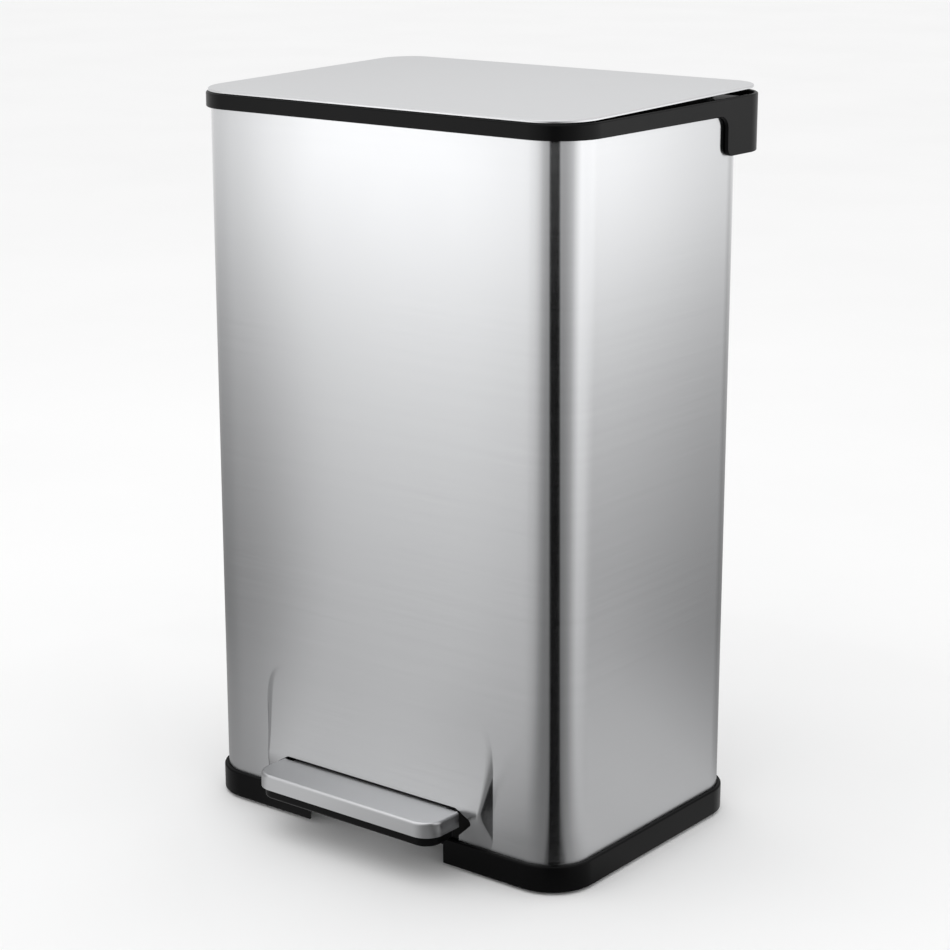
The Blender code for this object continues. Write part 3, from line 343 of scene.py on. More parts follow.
class Surface:
    """A Principled material with helpers for its texture nodes."""

    def __init__(self, name, colour, roughness, metallic=0.0):
        self.material = bpy.data.materials.new(name)
        self.material.use_nodes = True
        self.nodes = self.material.node_tree.nodes
        self.links = self.material.node_tree.links
        self.shader = self.nodes["Principled BSDF"]
        self.shader.inputs["Base Color"].default_value = (*colour, 1)
        self.shader.inputs["Roughness"].default_value = roughness
        self.shader.inputs["Metallic"].default_value = metallic
        self.coordinates = self.nodes.new("ShaderNodeTexCoord")
        self.height = None

    def link(self, source, target):
        self.links.new(source, target)

    def noise(self, stretch, detail=2.0, roughness=0.5):
        """Noise whose grain size along each axis is one over the stretch."""
        mapping = self.nodes.new("ShaderNodeMapping")
        mapping.inputs["Scale"].default_value = stretch
        self.link(self.coordinates.outputs["Object"], mapping.inputs["Vector"])
        noise = self.nodes.new("ShaderNodeTexNoise")
        noise.inputs["Scale"].default_value = 1.0
        noise.inputs["Detail"].default_value = detail
        noise.inputs["Roughness"].default_value = roughness
        self.link(mapping.outputs["Vector"], noise.inputs["Vector"])
        return noise.outputs["Fac"]

    def spread(self, source, low, high, start=0.3, end=0.7):
        """Turn a texture's middle range into values from low to high."""
        node = self.nodes.new("ShaderNodeMapRange")
        node.inputs["From Min"].default_value = start
        node.inputs["From Max"].default_value = end
        node.inputs["To Min"].default_value = low
        node.inputs["To Max"].default_value = high
        self.link(source, node.inputs["Value"])
        return node.outputs["Result"]

    def math(self, operation, first, second):
        node = self.nodes.new("ShaderNodeMath")
        node.operation = operation
        for socket, value in zip(node.inputs, (first, second)):
            if isinstance(value, (int, float)):
                socket.default_value = value
            else:
                self.link(value, socket)
        return node.outputs["Value"]

    def colours(self, source, low, high, start=0.3, end=0.7):
        ramp = self.nodes.new("ShaderNodeValToRGB")
        ramp.color_ramp.elements[0].position = start
        ramp.color_ramp.elements[0].color = (*low, 1)
        ramp.color_ramp.elements[1].position = end
        ramp.color_ramp.elements[1].color = (*high, 1)
        self.link(source, ramp.inputs["Fac"])
        self.link(ramp.outputs["Color"], self.shader.inputs["Base Color"])

    def roughen(self, source):
        self.link(source, self.shader.inputs["Roughness"])

    def bump(self, source, strength, depth):
        node = self.nodes.new("ShaderNodeBump")
        node.inputs["Strength"].default_value = strength
        node.inputs["Distance"].default_value = depth
        self.link(source, node.inputs["Height"])
        if self.height is not None:
            self.link(self.height, node.inputs["Normal"])
        self.height = node.outputs["Normal"]
        self.link(self.height, self.shader.inputs["Normal"])


def brushed_steel(name, grain, axis, turn, low=(0.585, 0.590, 0.600), high=(0.615, 0.620, 0.630),
                  rough=0.33, anisotropy=0.9):
    """Satin stainless sheet with very fine brush lines.

    grain is the texture's stretch along X, Y and Z; axis and turn set the way that the
    highlights are drawn out, square to the lines.
    """
    steel = Surface(name, high, rough, 1.0)
    lines = steel.noise(grain, detail=3, roughness=0.7)
    broad = steel.noise(tuple(0.12 * value for value in grain), detail=2)
    smears = steel.noise((5, 5, 4), detail=3)
    mixed = steel.math("ADD", steel.math("MULTIPLY", lines, 0.7), steel.math("MULTIPLY", broad, 0.3))
    steel.colours(mixed, low, high, 0.25, 0.75)
    fine = steel.spread(mixed, rough - 0.02, rough + 0.03)
    steel.roughen(steel.math("ADD", fine, steel.spread(smears, -0.02, 0.02)))
    steel.bump(mixed, 0.022, 0.00005)
    steel.shader.inputs["Anisotropic"].default_value = anisotropy
    steel.shader.inputs["Anisotropic Rotation"].default_value = turn
    tangent = steel.nodes.new("ShaderNodeTangent")
    tangent.direction_type = "RADIAL"
    tangent.axis = axis
    steel.link(tangent.outputs["Tangent"], steel.shader.inputs["Tangent"])
    return steel.material


def moulded_plastic(name, low, high, rough, grain=1500.0, depth=0.00005, gloss=0.45):
    """Moulded plastic with an eroded grain and slightly uneven gloss."""
    plastic = Surface(name, high, rough)
    grit = plastic.noise((grain,) * 3, detail=2, roughness=0.6)
    cloud = plastic.noise((14, 14, 14), detail=3)
    plastic.colours(plastic.math("ADD", plastic.math("MULTIPLY", grit, 0.4),
                                 plastic.math("MULTIPLY", cloud, 0.6)), low, high)
    plastic.roughen(plastic.math("ADD", plastic.spread(cloud, rough - 0.04, rough + 0.05),
                                 plastic.spread(grit, -0.04, 0.04)))
    plastic.bump(grit, 0.25, depth)
    plastic.shader.inputs["Specular IOR Level"].default_value = gloss
    return plastic.material


def zinc_plate(name):
    """Zinc plated steel with a faint crystalline mottle and a cool tint."""
    zinc = Surface(name, (0.55, 0.56, 0.57), 0.35, 1.0)
    crystals = zinc.nodes.new("ShaderNodeTexVoronoi")
    crystals.inputs["Scale"].default_value = 260
    zinc.link(zinc.coordinates.outputs["Object"], crystals.inputs["Vector"])
    cloud = zinc.noise((45, 45, 45), detail=3)
    mixed = zinc.math("ADD", zinc.math("MULTIPLY", crystals.outputs["Distance"], 0.5),
                      zinc.math("MULTIPLY", cloud, 0.6))
    zinc.colours(mixed, (0.42, 0.43, 0.45), (0.62, 0.62, 0.61))
    zinc.roughen(zinc.spread(mixed, 0.26, 0.44))
    zinc.bump(cloud, 0.12, 0.0001)
    return zinc.material


def drawn_wire(name):
    """Bright drawn wire with lengthwise die lines."""
    wire = Surface(name, (0.62, 0.62, 0.62), 0.28, 1.0)
    lines = wire.noise((1600, 1600, 30), detail=2)
    wire.colours(lines, (0.50, 0.50, 0.51), (0.70, 0.70, 0.70))
    wire.roughen(wire.spread(lines, 0.2, 0.36))
    wire.bump(lines, 0.15, 0.00004)
    return wire.material


def floor_paint(name):
    """Pale seamless paper."""
    paper = Surface(name, (0.94, 0.94, 0.94), 0.9)
    cloud = paper.noise((2, 2, 2), detail=4)
    paper.colours(cloud, (0.93, 0.93, 0.93), (0.95, 0.95, 0.95))
    paper.bump(paper.noise((700, 700, 700)), 0.05, 0.0001)
    return paper.material


SHELL_STEEL = brushed_steel("shell_steel", (9, 9, 1300), "Z", 0.25, rough=0.20, anisotropy=1.0)
TOP_STEEL = brushed_steel("lid_steel", (9, 1300, 9), "X", 0.0, anisotropy=0.5)
PEDAL_STEEL = brushed_steel("pedal_steel", (14, 1500, 1500), "X", 0.0, anisotropy=0.5)
BLACK = moulded_plastic("black_plastic", (0.0015, 0.0015, 0.0017), (0.003, 0.003, 0.0032), 0.34, gloss=0.10)
BUCKET = moulded_plastic("bucket_plastic", (0.085, 0.087, 0.092), (0.115, 0.117, 0.122), 0.46, 900.0, 0.00008)
NYLON = moulded_plastic("nylon", (0.62, 0.62, 0.58), (0.72, 0.72, 0.69), 0.42, 700.0)
RUBBER = moulded_plastic("rubber", (0.016, 0.016, 0.016), (0.03, 0.03, 0.03), 0.78, 1200.0, 0.00012)
ZINC = zinc_plate("zinc_plate")
WIRE = drawn_wire("drawn_wire")


# ---------------------------------------------------------------- shell

HOOD_DEPTH = MIDDLE_Y - SHELL_Y - SHELL_LOW.y
HOOD_FOOT, HOOD_HIGH = 0.128, 0.150
HOOD_FLANK, HOOD_BEND = 1.3, 0.003
SLOT_TOP = 0.0605
SLOT_SIDE = ((0.0905, 0.0, 0), (0.0915, 0.031, 0.003), (0.1130, 0.050, 0.005), (0.0960, SLOT_TOP, 0.006))


def hood_depth(x, z):
    """How far the hood over the pedal is pressed out at this place of the front wall."""
    above = min(max((z - SLOT_TOP) / (HOOD_HIGH - SLOT_TOP), 0), 1)
    top = HOOD_DEPTH * (1 - above) ** 2.5 * smooth_step((z - BASE_HIGH) / (SLOT_TOP - BASE_HIGH))
    flank = max(HOOD_FOOT - abs(x), 0) * HOOD_FLANK * (1 - above)
    blend = min(max(0.5 + (flank - top) / (2 * HOOD_BEND), 0), 1)
    return max(flank + (top - flank) * blend - HOOD_BEND * blend * (1 - blend), 0)


def make_shell():
    spots = [0.105 * step / 15 for step in range(16)]
    spots += [0.1055 + 0.0005 * step for step in range(47)] + [0.136, 0.143, 0.150, 0.156]
    front = [Vector((-x, -SHELL_Y)) for x in spots[:0:-1]] + [Vector((x, -SHELL_Y)) for x in spots]
    ring = outline(SHELL_X, -SHELL_Y, SHELL_Y, SHELL_RADIUS) + front
    dense = [SHELL_LOW.z + (0.154 - SHELL_LOW.z) * step / 72 for step in range(73)]
    plain = [0.154 + (SHELL_HIGH.z - 0.154) * step / 10 for step in range(1, 11)]
    work = bmesh.new()
    loops = []
    for z in dense + plain:
        loop = []
        for x, y in ring:
            outward = hood_depth(x, z) if y < -SHELL_Y + 0.0001 else 0
            loop.append(work.verts.new((x, y - outward, z)))
        loops.append(loop)
    for low, high in zip(loops, loops[1:]):
        for index in range(len(ring)):
            work.faces.new((low[index - 1], low[index], high[index], high[index - 1]))
    shell = mesh_object("shell", work)
    sheet = shell.modifiers.new("sheet", "SOLIDIFY")
    sheet.thickness = SHEET
    sheet.offset = -1
    bake(shell)
    slot = list(SLOT_SIDE) + [(-x, z, bend) for x, z, bend in reversed(SLOT_SIDE)]
    cut(shell, slab([fillet(slot)], -0.155, -0.100, "Y"))
    notch = (CRANK_NOTCH_X[0] - 0.0005, CRANK_NOTCH_X[1] + 0.0005)
    cut(shell, block(notch, (0.125, 0.140), (0.603, 0.650)))
    place(shell, "shell_skin", "can_body", SHELL_STEEL, "steel", ["outer_shell"])


# ---------------------------------------------------------------- base

NOTCH_X = 0.077
PLINTH_FRONT, PLINTH_BACK = -0.116, 0.108
RIB_HALF, RIB_LOW, RIB_HIGH = 0.001, 0.056, 0.065


def make_base():
    plan = (SHELL_X, -SHELL_Y, SHELL_Y, SHELL_RADIUS, SHELL_RADIUS)
    out, inn = TRIM_OUT, 0.0006
    profile = (arc((out - 0.0012, BASE_LOW + 0.0012), 0.0012, -90, 0)
               + arc((out - 0.0016, BASE_HIGH - 0.0016), 0.0016, 0, 90)
               + [(inn + 0.0004, BASE_HIGH), (inn, BASE_HIGH - 0.0004), (inn, BASE_LOW)])
    skirt = plan_loft("base_skirt", plan, profile, closed=True)
    cut(skirt, block((-NOTCH_X, NOTCH_X), (-0.150, -0.110), (-0.010, 0.040)))
    soften(skirt, 0.0004, angle=50)
    place(skirt, "base_skirt", "can_body", BLACK, "plastic", ["base_tray"])

    deck_low, deck_high = 0.0085, 0.0115
    tub = slab([outline(SHELL_X + 0.001, -SHELL_Y - 0.001, SHELL_Y + 0.001, SHELL_RADIUS)],
               deck_low, BASE_HIGH - 0.0004)
    plinth = outline(0.190, PLINTH_FRONT, PLINTH_BACK, 0.008, steps=8)
    fuse(tub, slab([plinth], deck_low, 0.067))
    cut(tub, slab([shell_plan(GAP), shell_plan(-LIP_OUT)], deck_high, 0.080))
    cut(tub, slab([shell_plan(-LIP_OUT - WALL), plinth], deck_high, 0.080))
    front, back = PLINTH_FRONT + WALL, PLINTH_BACK - WALL
    cut(tub, slab([outline(0.1875, front, back, 0.006, steps=8)], deck_high, 0.0645))
    cut(tub, block((-0.120, 0.120), (front + 0.0005, back - 0.0005), (0, 0.0125)))
    fuse(tub, block((-0.045, 0.045), (-0.082, -0.038), (0.058, 0.0655)))
    cut(tub, block((-NOTCH_X, NOTCH_X), (-0.150, PLINTH_FRONT - 0.0001), (0, 0.030)))
    cut(tub, block((-0.045, 0.045), (-0.120, front + 0.002), (0, 0.060)))
    cut(tub, block((-0.066, 0.024), (back - 0.002, 0.1290), (0, 0.060)))
    for x in (-0.105, -0.070, 0.070, 0.105):
        along = (front - 0.001, back + 0.001)
        fuse(tub, block((x - RIB_HALF, x + RIB_HALF), along, (RIB_LOW, RIB_HIGH)))
    for y in (-0.020, 0.045):
        for side in (-1, 1):
            low, high = sorted((side * 0.0655, side * 0.188))
            fuse(tub, block((low, high), (y - RIB_HALF, y + RIB_HALF), (RIB_LOW, RIB_HIGH)))
    soften(tub, 0.0003, angle=50)
    place(tub, "base_deck", "can_body", BLACK, "plastic", ["base_tray"])


def make_feet():
    profile = ([(0, 0.0082), (0.0122, 0.0082), (0.0125, 0.0078)]
               + arc((0.0110, 0.0015), 0.0015, 0, -90) + [(0.0085, 0.0), (0.0080, 0.0006), (0, 0.0006)])
    for end in ("front", "back"):
        for side in ("left", "right"):
            node = f"foot_{end}_{side}"
            low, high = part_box(node)
            centre = ((low.x + high.x) / 2, (low.y + high.y) / 2, 0)
            foot = turned(node + "_pad", profile, centre)
            place(foot, node + "_pad", "can_body", RUBBER, "rubber", [node], Matrix.Identity(4))


# ---------------------------------------------------------------- collar and housing

COLLAR_LOW, HOUSING_LOW = 0.632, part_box("top_collar")[0].z
COLLAR_TOP = 0.6450
COLLAR_RISE = 0.0026 / 0.297
DECK_LOW, DECK_HIGH = 0.640, 0.6435
LOBE_Y, LOBE_BEND, LOBE_ROUND = 0.090, 0.012, 0.007
BEAD = 0.003
COVER_X, COVER_LOW = 0.172, 0.604
COVER_SCREWS = ((0.060, 0.614), (0.125, 0.614))
LUG_RADIUS = 0.0055


def collar_columns():
    """Plan points of the collar's outside, close together where its lower edge bends."""
    ring = outline(SHELL_X + TRIM_OUT, -SHELL_Y - TRIM_OUT, HOUSING_BACK, SHELL_RADIUS + TRIM_OUT, 0.034)
    bends = [LOBE_Y - LOBE_BEND + LOBE_BEND * math.sin(math.radians(step * 9)) for step in range(11)]
    bends += [LOBE_Y + LOBE_ROUND - LOBE_ROUND * math.cos(math.radians(step * 10)) + 0.0001
              for step in range(10)]
    half = SHELL_X + TRIM_OUT
    corner = CORNER_STEPS + 1
    right = [Vector((half, y)) for y in bends]
    left = [Vector((-half, y)) for y in reversed(bends)]
    return ring[:corner] + right + ring[corner:3 * corner] + left + ring[3 * corner:]


def lower_edge(y):
    """Height of the collar's lower edge: level, then a bend down into the housing's lobe."""
    if y <= LOBE_Y - LOBE_BEND:
        return COLLAR_LOW
    if y <= LOBE_Y:
        reach = y - (LOBE_Y - LOBE_BEND)
        return COLLAR_LOW - LOBE_BEND + math.sqrt(max(LOBE_BEND ** 2 - reach ** 2, 0))
    if y <= LOBE_Y + LOBE_ROUND:
        reach = LOBE_Y + LOBE_ROUND - y
        return HOUSING_LOW + LOBE_ROUND - math.sqrt(max(LOBE_ROUND ** 2 - reach ** 2, 0))
    return HOUSING_LOW


def make_collar_band():
    """The visible outside of collar and housing, with a rounded bead on top."""
    columns = collar_columns()
    count = len(columns)
    inward = []
    for index, point in enumerate(columns):
        along = (columns[(index + 1) % count] - columns[index - 1]).normalized()
        inward.append(Vector((-along.y, along.x)))
    sections = [(0.0006, 0, "low"), (0, 0.0006, "low")]
    sections += [(0.0016 - x, z, "top") for x, z in arc((0, -0.0016), 0.0016, 0, 90)]
    sections += [(BEAD - 0.0006, 0, "top"), (BEAD, -0.0006, "top"), (BEAD, 0, "low")]
    rings = []
    for inset, lift, level in sections:
        ring = []
        for point, normal in zip(columns, inward):
            top = COLLAR_TOP + COLLAR_RISE * (point.y + SHELL_Y + TRIM_OUT)
            z = (top if level == "top" else lower_edge(point.y)) + lift
            place_xy = point + normal * inset
            ring.append((place_xy.x, place_xy.y, z))
        rings.append(ring)
    band = loft("collar_band", rings, closed=True)
    cut(band, block((-COVER_X - GAP, COVER_X + GAP), (HOUSING_BACK - 0.004, HOUSING_BACK + 0.01),
                    (COVER_LOW - GAP, 0.690)))
    place(band, "collar_band", "can_body", BLACK, "plastic", ["top_collar"])


def make_collar_core():
    """Deck, inner skirt and the housing's inside, tucked into the band."""
    back_low = HOUSING_BACK - BEAD + 0.0008
    body = slab([outline(SHELL_X + TRIM_OUT - 0.0022, -SHELL_Y - TRIM_OUT + 0.0022, back_low, 0.040, 0.0318)],
                HOUSING_LOW + 0.0006, DECK_HIGH)
    side = fillet([(-0.150, COLLAR_LOW + 0.0006, 0), (LOBE_Y + 0.0006, COLLAR_LOW + 0.0006, LOBE_BEND),
                   (LOBE_Y + 0.0006, HOUSING_LOW, LOBE_ROUND), (0.170, HOUSING_LOW, 0),
                   (0.170, 0.660, 0), (-0.150, 0.660, 0)])
    boolean(body, "INTERSECT", slab([side], -0.250, 0.250, "X"))
    cut(body, slab([shell_plan(GAP)], 0.570, DECK_LOW))
    skirt = [shell_plan(-LIP_OUT), shell_plan(-LIP_OUT - WALL)]
    fuse(body, slab(skirt, 0.624, DECK_LOW + 0.001))
    cut(body, slab([outline(0.193, -0.126, 0.108, 0.030)], 0.600, 0.670))
    ledge = SHELL_Y + TRIM_OUT
    cavity = outline(0.190, ledge, HOUSING_BACK - WALL, 0.006, steps=8)
    cut(body, slab([cavity], HOUSING_LOW + WALL, 0.680))
    cut(body, block((-COVER_X - GAP, COVER_X + GAP), (HOUSING_BACK - WALL - 0.0005, 0.170),
                    (COVER_LOW - GAP, 0.690)))
    inner_back = HOUSING_BACK - WALL - GAP
    for side in (-1, 1):
        for offset in (-0.0070, 0.0070):
            middle = side * LUG_X + offset
            low, high = HOUSING_LOW + 0.001, HINGE.z + LUG_RADIUS
            cheek = fillet([(ledge - 0.001, low, 0), (inner_back, low, 0),
                            (inner_back, high, 0.004), (ledge - 0.001, high, 0.004)])
            fuse(body, slab([cheek], middle - 0.0015, middle + 0.0015, "X"))
        for x, z in COVER_SCREWS:
            fuse(body, cylinder(0.0045, (side * x, ledge - 0.001, z), (side * x, inner_back, z)))
            cut(body, cylinder(0.0015, (side * x, 0.142, z), (side * x, 0.162, z), 20))
        near, far = side * LUG_X - 0.012, side * LUG_X + 0.012
        cut(body, cylinder(0.0027, (near, HINGE.y, HINGE.z), (far, HINGE.y, HINGE.z)))
    cut(body, block(CRANK_NOTCH_X, (0.1075, ledge + 0.0005), (0.604, 0.6485)))
    soften(body, 0.0003, angle=50)
    place(body, "collar_core", "can_body", BLACK, "plastic", ["top_collar"])


def make_hinge_cover():
    top = HINGE.z + 0.0073
    front = HOUSING_BACK - WALL
    shape = fillet([(-COVER_X, COVER_LOW, 0.003), (COVER_X, COVER_LOW, 0.003),
                    (COVER_X, top, 0.001), (-COVER_X, top, 0.001)])
    cover = slab([shape], front, HOUSING_BACK, "Y")
    for side in (-1, 1):
        for x, z in COVER_SCREWS:
            cut(cover, cylinder(0.0017, (side * x, 0.150, z), (side * x, 0.165, z), 24))
            cut(cover, cylinder(0.0034, (side * x, front + 0.0010, z), (side * x, 0.165, z)))
    for line in range(5):
        z = 0.6245 + line * 0.0040
        groove = capsule((-0.140, z), (0.140, z), 0.0007, 6)
        cut(cover, slab([groove], HOUSING_BACK - 0.0006, HOUSING_BACK + 0.001, "Y"))
    soften(cover, 0.0003, angle=50)
    place(cover, "housing_cover", "can_body", BLACK, "plastic", ["hinge_cover"])


# ---------------------------------------------------------------- screws, pins and wire

SCREW_HEADS = {"cover": 0.0011, "crank": 0.0018, "pedal": 0.0022, "bracket": 0.0020}


def make_screw(node, body, axis):
    """Cross-head screw in the place of its CAD node; axis points out of its head."""
    low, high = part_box(node)
    axis = Vector(axis)
    size = high - low
    length = abs(size.dot(axis))
    across = [size[index] for index in range(3) if abs(axis[index]) < 0.5]
    radius = min(across) / 2
    centre = (low + high) / 2
    tip = centre - axis * (length / 2)
    head = SCREW_HEADS[node.split("_")[0]]
    shank = radius * 0.42
    neck = length - head
    profile = [(0, 0), (shank * 0.35, 0.0002)]
    threads = max(4, int((neck - 0.002) / 0.0006))
    for turn in range(threads):
        z = 0.001 + (neck - 0.0012) * turn / threads
        profile += [(shank * 0.86, z), (shank, z + 0.0002)]
    profile += [(shank * 0.86, neck), (radius * 0.96, neck), (radius, neck + head * 0.2)]
    profile += [(radius * math.cos(math.radians(a)), neck + head * (0.2 + 0.8 * math.sin(math.radians(a))))
                for a in (20, 45, 70)]
    profile += [(0, length)]
    screw = turned(node + "_head", profile, (0, 0, 0), segments=24)
    for angle in (0, 90):
        reach, thin = radius * 0.55, radius * 0.11
        spoke = block((-reach, reach), (-thin, thin), (length - head * 0.55, length + 0.001))
        spoke.data.transform(Matrix.Rotation(math.radians(angle + 20), 4, "Z"))
        cut(screw, spoke)
    turn = axis.to_track_quat("Z", "Y").to_matrix().to_4x4()
    place(screw, node + "_detail", body, ZINC, "zinc", [node], Matrix.Translation(tip) @ turn)


def keep_cad(node, material, bevel=0.0):
    """Show a CAD node as it is, with a finished material and eased edges."""
    item = frame["nodes"][node]
    item.data.materials.clear()
    item.data.materials.append(material)
    for polygon in item.data.polygons:
        polygon.use_smooth = True
    weld = item.modifiers.new("weld", "WELD")
    weld.merge_threshold = 0.00001
    if bevel:
        ease = item.modifiers.new("ease", "BEVEL")
        ease.width = bevel
        ease.segments = 2
        ease.limit_method = "ANGLE"
        ease.angle_limit = math.radians(40)
    split = item.modifiers.new("split", "EDGE_SPLIT")
    split.split_angle = math.radians(38)
    return item


# ---------------------------------------------------------------- lid

LID_X, LID_FRONT, LID_BACK = 0.202, -0.135, 0.155
LID_TOP = HINGE.z + 0.0145
FRAME_LOW, FRAME_HIGH = HINGE.z + 0.0120, HINGE.z + 0.0136


def make_lid_plate():
    plan = (LID_X, LID_FRONT, LID_BACK, 0.040, 0.032)
    edge = LID_TOP - 0.0022
    profile = ([(-0.0006, LID_TOP - 0.0006), (-0.0006, edge + 0.0001), (-0.0005, edge),
                (-0.0001, edge), (0, edge + 0.0001)]
               + arc((-0.0011, LID_TOP - 0.0011), 0.0011, 0, 90, 6))
    plate = plan_loft("lid_plate_skin", plan, profile, steps=24)
    place(plate, "lid_skin", "lid", TOP_STEEL, "steel", ["lid_plate"], TIP_LID)


def make_lid_frame():
    inset = 0.0012
    plan = outline(LID_X - inset, LID_FRONT + inset, 0.140, 0.040 - inset, 0.032 - inset)
    body = slab([plan], FRAME_LOW, FRAME_HIGH)
    lip = [outline(0.1905, -0.1235, 0.105, 0.029), outline(0.1885, -0.1215, 0.103, 0.027)]
    fuse(body, slab(lip, FRAME_LOW - 0.0070, FRAME_LOW + 0.0005))
    thin, rib = 0.0006, (FRAME_LOW - 0.0040, FRAME_LOW + 0.0005)
    for x in (-0.126, -0.063, 0.063, 0.126):
        fuse(body, block((x - thin, x + thin), (-0.122, 0.1035), rib))
    for y in (-0.046, 0.029):
        fuse(body, block((-0.189, 0.189), (y - thin, y + thin), rib))
    for side in (-1, 1):
        low, high = sorted((side * LUG_X - 0.005, side * LUG_X + 0.005))
        arm = [(-0.0035, 0.0042), (-0.0085, 0.0068), (-0.0120, 0.0125), (-0.0460, 0.0125),
               (-0.0440, 0.0090), (-0.0145, 0.0050), (-0.0045, -0.0030)]
        fuse(body, slab([[(HINGE.y + y, HINGE.z + z) for y, z in arm]], low, high, "X"))
        fuse(body, slab([circle((HINGE.y, HINGE.z), LUG_RADIUS)], low, high, "X"))
        cut(body, cylinder(0.0042, (low - 0.001, HINGE.y, HINGE.z), (high + 0.001, HINGE.y, HINGE.z)))
    soften(body, 0.0003, angle=50)
    place(body, "lid_underside", "lid", BLACK, "plastic", ["lid_frame"], TIP_LID)


def make_bumpers():
    for number in range(1, 5):
        node = f"lid_bumper_{number}"
        low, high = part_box(node)
        centre = ((low.x + high.x) / 2, (low.y + high.y) / 2, high.z)
        dot = turned(node + "_dot", [(0, 0), (0.0034, 0), (0.0035, -0.0004), (0.0031, -0.0009),
                                     (0.0022, -0.0012), (0, -0.0013)], centre, segments=28)
        place(dot, node + "_dot", "lid", RUBBER, "rubber", [node], Matrix.Identity(4))


# ---------------------------------------------------------------- pedal

PEDAL_LOW, PEDAL_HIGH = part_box("pedal_plate")
PEDAL_FRONT, PEDAL_BACK = PEDAL_LOW.y - MIDDLE_Y, PEDAL_HIGH.y - MIDDLE_Y
CORE_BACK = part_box("pedal_core")[1].y - MIDDLE_Y
TONGUE_X = 0.088
STRAP_FRONT, STRAP_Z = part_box("pedal_lever")[0].y - MIDDLE_Y, 0.051
PEDAL_SCREW_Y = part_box("pedal_screw_2")[0].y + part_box("pedal_screw_2")[1].y
PEDAL_SCREW_Y = PEDAL_SCREW_Y / 2 - MIDDLE_Y


def make_pedal():
    plan = (PEDAL_HIGH.x, PEDAL_FRONT, PEDAL_BACK, 0.018, 0.0045)
    top, low, sheet, round_edge = PEDAL_HIGH.z, PEDAL_LOW.z, 0.0012, 0.0028
    profile = ([(-sheet - 0.0016, top - sheet), (-sheet, top - sheet - 0.0016), (-sheet, low + 0.0003),
                (-sheet + 0.0003, low), (-0.0003, low), (0, low + 0.0003)]
               + arc((-round_edge, top - round_edge), round_edge, 0, 90, 7))
    cap = plan_loft("pedal_cap", plan, profile)
    cut(cap, block((-0.150, 0.150), (CORE_BACK, -0.100), (0.020, top - sheet - 0.0002)))
    for side in (-1, 1):
        behind = sorted((side * TONGUE_X, side * 0.150))
        cut(cap, block(behind, (CORE_BACK, -0.100), (0.020, 0.080)))
    place(cap, "pedal_cap", "pedal", PEDAL_STEEL, "steel", ["pedal_plate"])

    inset = sheet + GAP
    plan = (PEDAL_HIGH.x - inset, PEDAL_FRONT + inset, CORE_BACK, 0.0165, 0.0060)
    core_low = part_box("pedal_core")[0].z
    profile = (arc((-0.0045, core_low + 0.0025), 0.0025, -90, 0)
               + [(-0.0020, low - 0.0004), (-0.0004, low + 0.0004), (0, low + 0.0008),
                  (0, top - sheet - 0.0030), (-0.0016, top - sheet - 0.0006)])
    core = plan_loft("pedal_block", plan, profile)
    strap = (STRAP_Z - 0.0023, STRAP_Z + 0.0023)
    cut(core, block((-0.0223, 0.0223), (STRAP_FRONT - GAP, -0.130), strap))
    for x in SCREW_X:
        low, seat, high = (Vector((x, PEDAL_SCREW_Y, z)) for z in (0.028, 0.0425, STRAP_Z))
        cut(core, cylinder(0.0018, low, high, 24))
        cut(core, cylinder(0.0042, low, seat, 32))
    for side in (-1, 1):
        for middle in (0.042, 0.066):
            low_x, high_x = sorted((side * (middle - 0.010), side * (middle + 0.010)))
            pocket = slab([outline(0.010, -0.176, -0.152, 0.003, steps=6)], core_low - 0.001, 0.0485)
            pocket.data.transform(Matrix.Translation(((low_x + high_x) / 2, 0, 0)))
            cut(core, pocket)
    place(core, "pedal_block", "pedal", BLACK, "plastic", ["pedal_core"])


# ---------------------------------------------------------------- bucket

def make_bucket():
    low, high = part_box("inner_bucket")
    floor, rim, wall, draft = low.z, high.z, 0.0020, 0.0080
    front, back = low.y - MIDDLE_Y + 0.004, high.y - MIDDLE_Y - 0.004
    plan = (high.x - 0.004, front, back, 0.030, 0.030)
    foot = 0.006
    profile = arc((-draft - foot, floor + foot), foot, -90, 0)
    profile += [(-draft * 0.5, floor + (rim - floor) * 0.5), (-0.0002, rim - 0.012)]
    profile += [(0.0, rim - 0.0030), (0.0006, rim - 0.0022), (0.0014, rim - 0.0022),
                (0.0020, rim - 0.0028), (0.0020, rim - 0.0086), (0.0024, rim - 0.0090),
                (0.0036, rim - 0.0090), (0.0040, rim - 0.0086)]
    profile += arc((0.0020, rim - 0.0020), 0.0020, 0, 90)
    profile += arc((-wall + 0.0008, rim - 0.0008), 0.0008, 90, 180, 3)
    profile += [(-wall - draft * 0.5, floor + (rim - floor) * 0.5)]
    inner = (-wall - draft - foot, floor + 0.0025 + foot)
    profile += [(inner[0] + foot * math.cos(math.radians(a)), inner[1] + foot * math.sin(math.radians(a)))
                for a in (0, -18, -36, -54, -72, -90)]
    bucket = plan_loft("bucket", plan, profile)
    for side in (-1, 1):
        grip = fillet([(-0.050, 0.586, 0.009), (0.050, 0.586, 0.009), (0.050, 0.608, 0.009),
                       (-0.050, 0.608, 0.009)])
        edges = sorted((side * 0.170, side * 0.200))
        cut(bucket, slab([grip], *edges, "X"))
    place(bucket, "bucket_shell", "bucket", BUCKET, "bucket_plastic", ["inner_bucket"])


# ---------------------------------------------------------------- stage, lights and camera

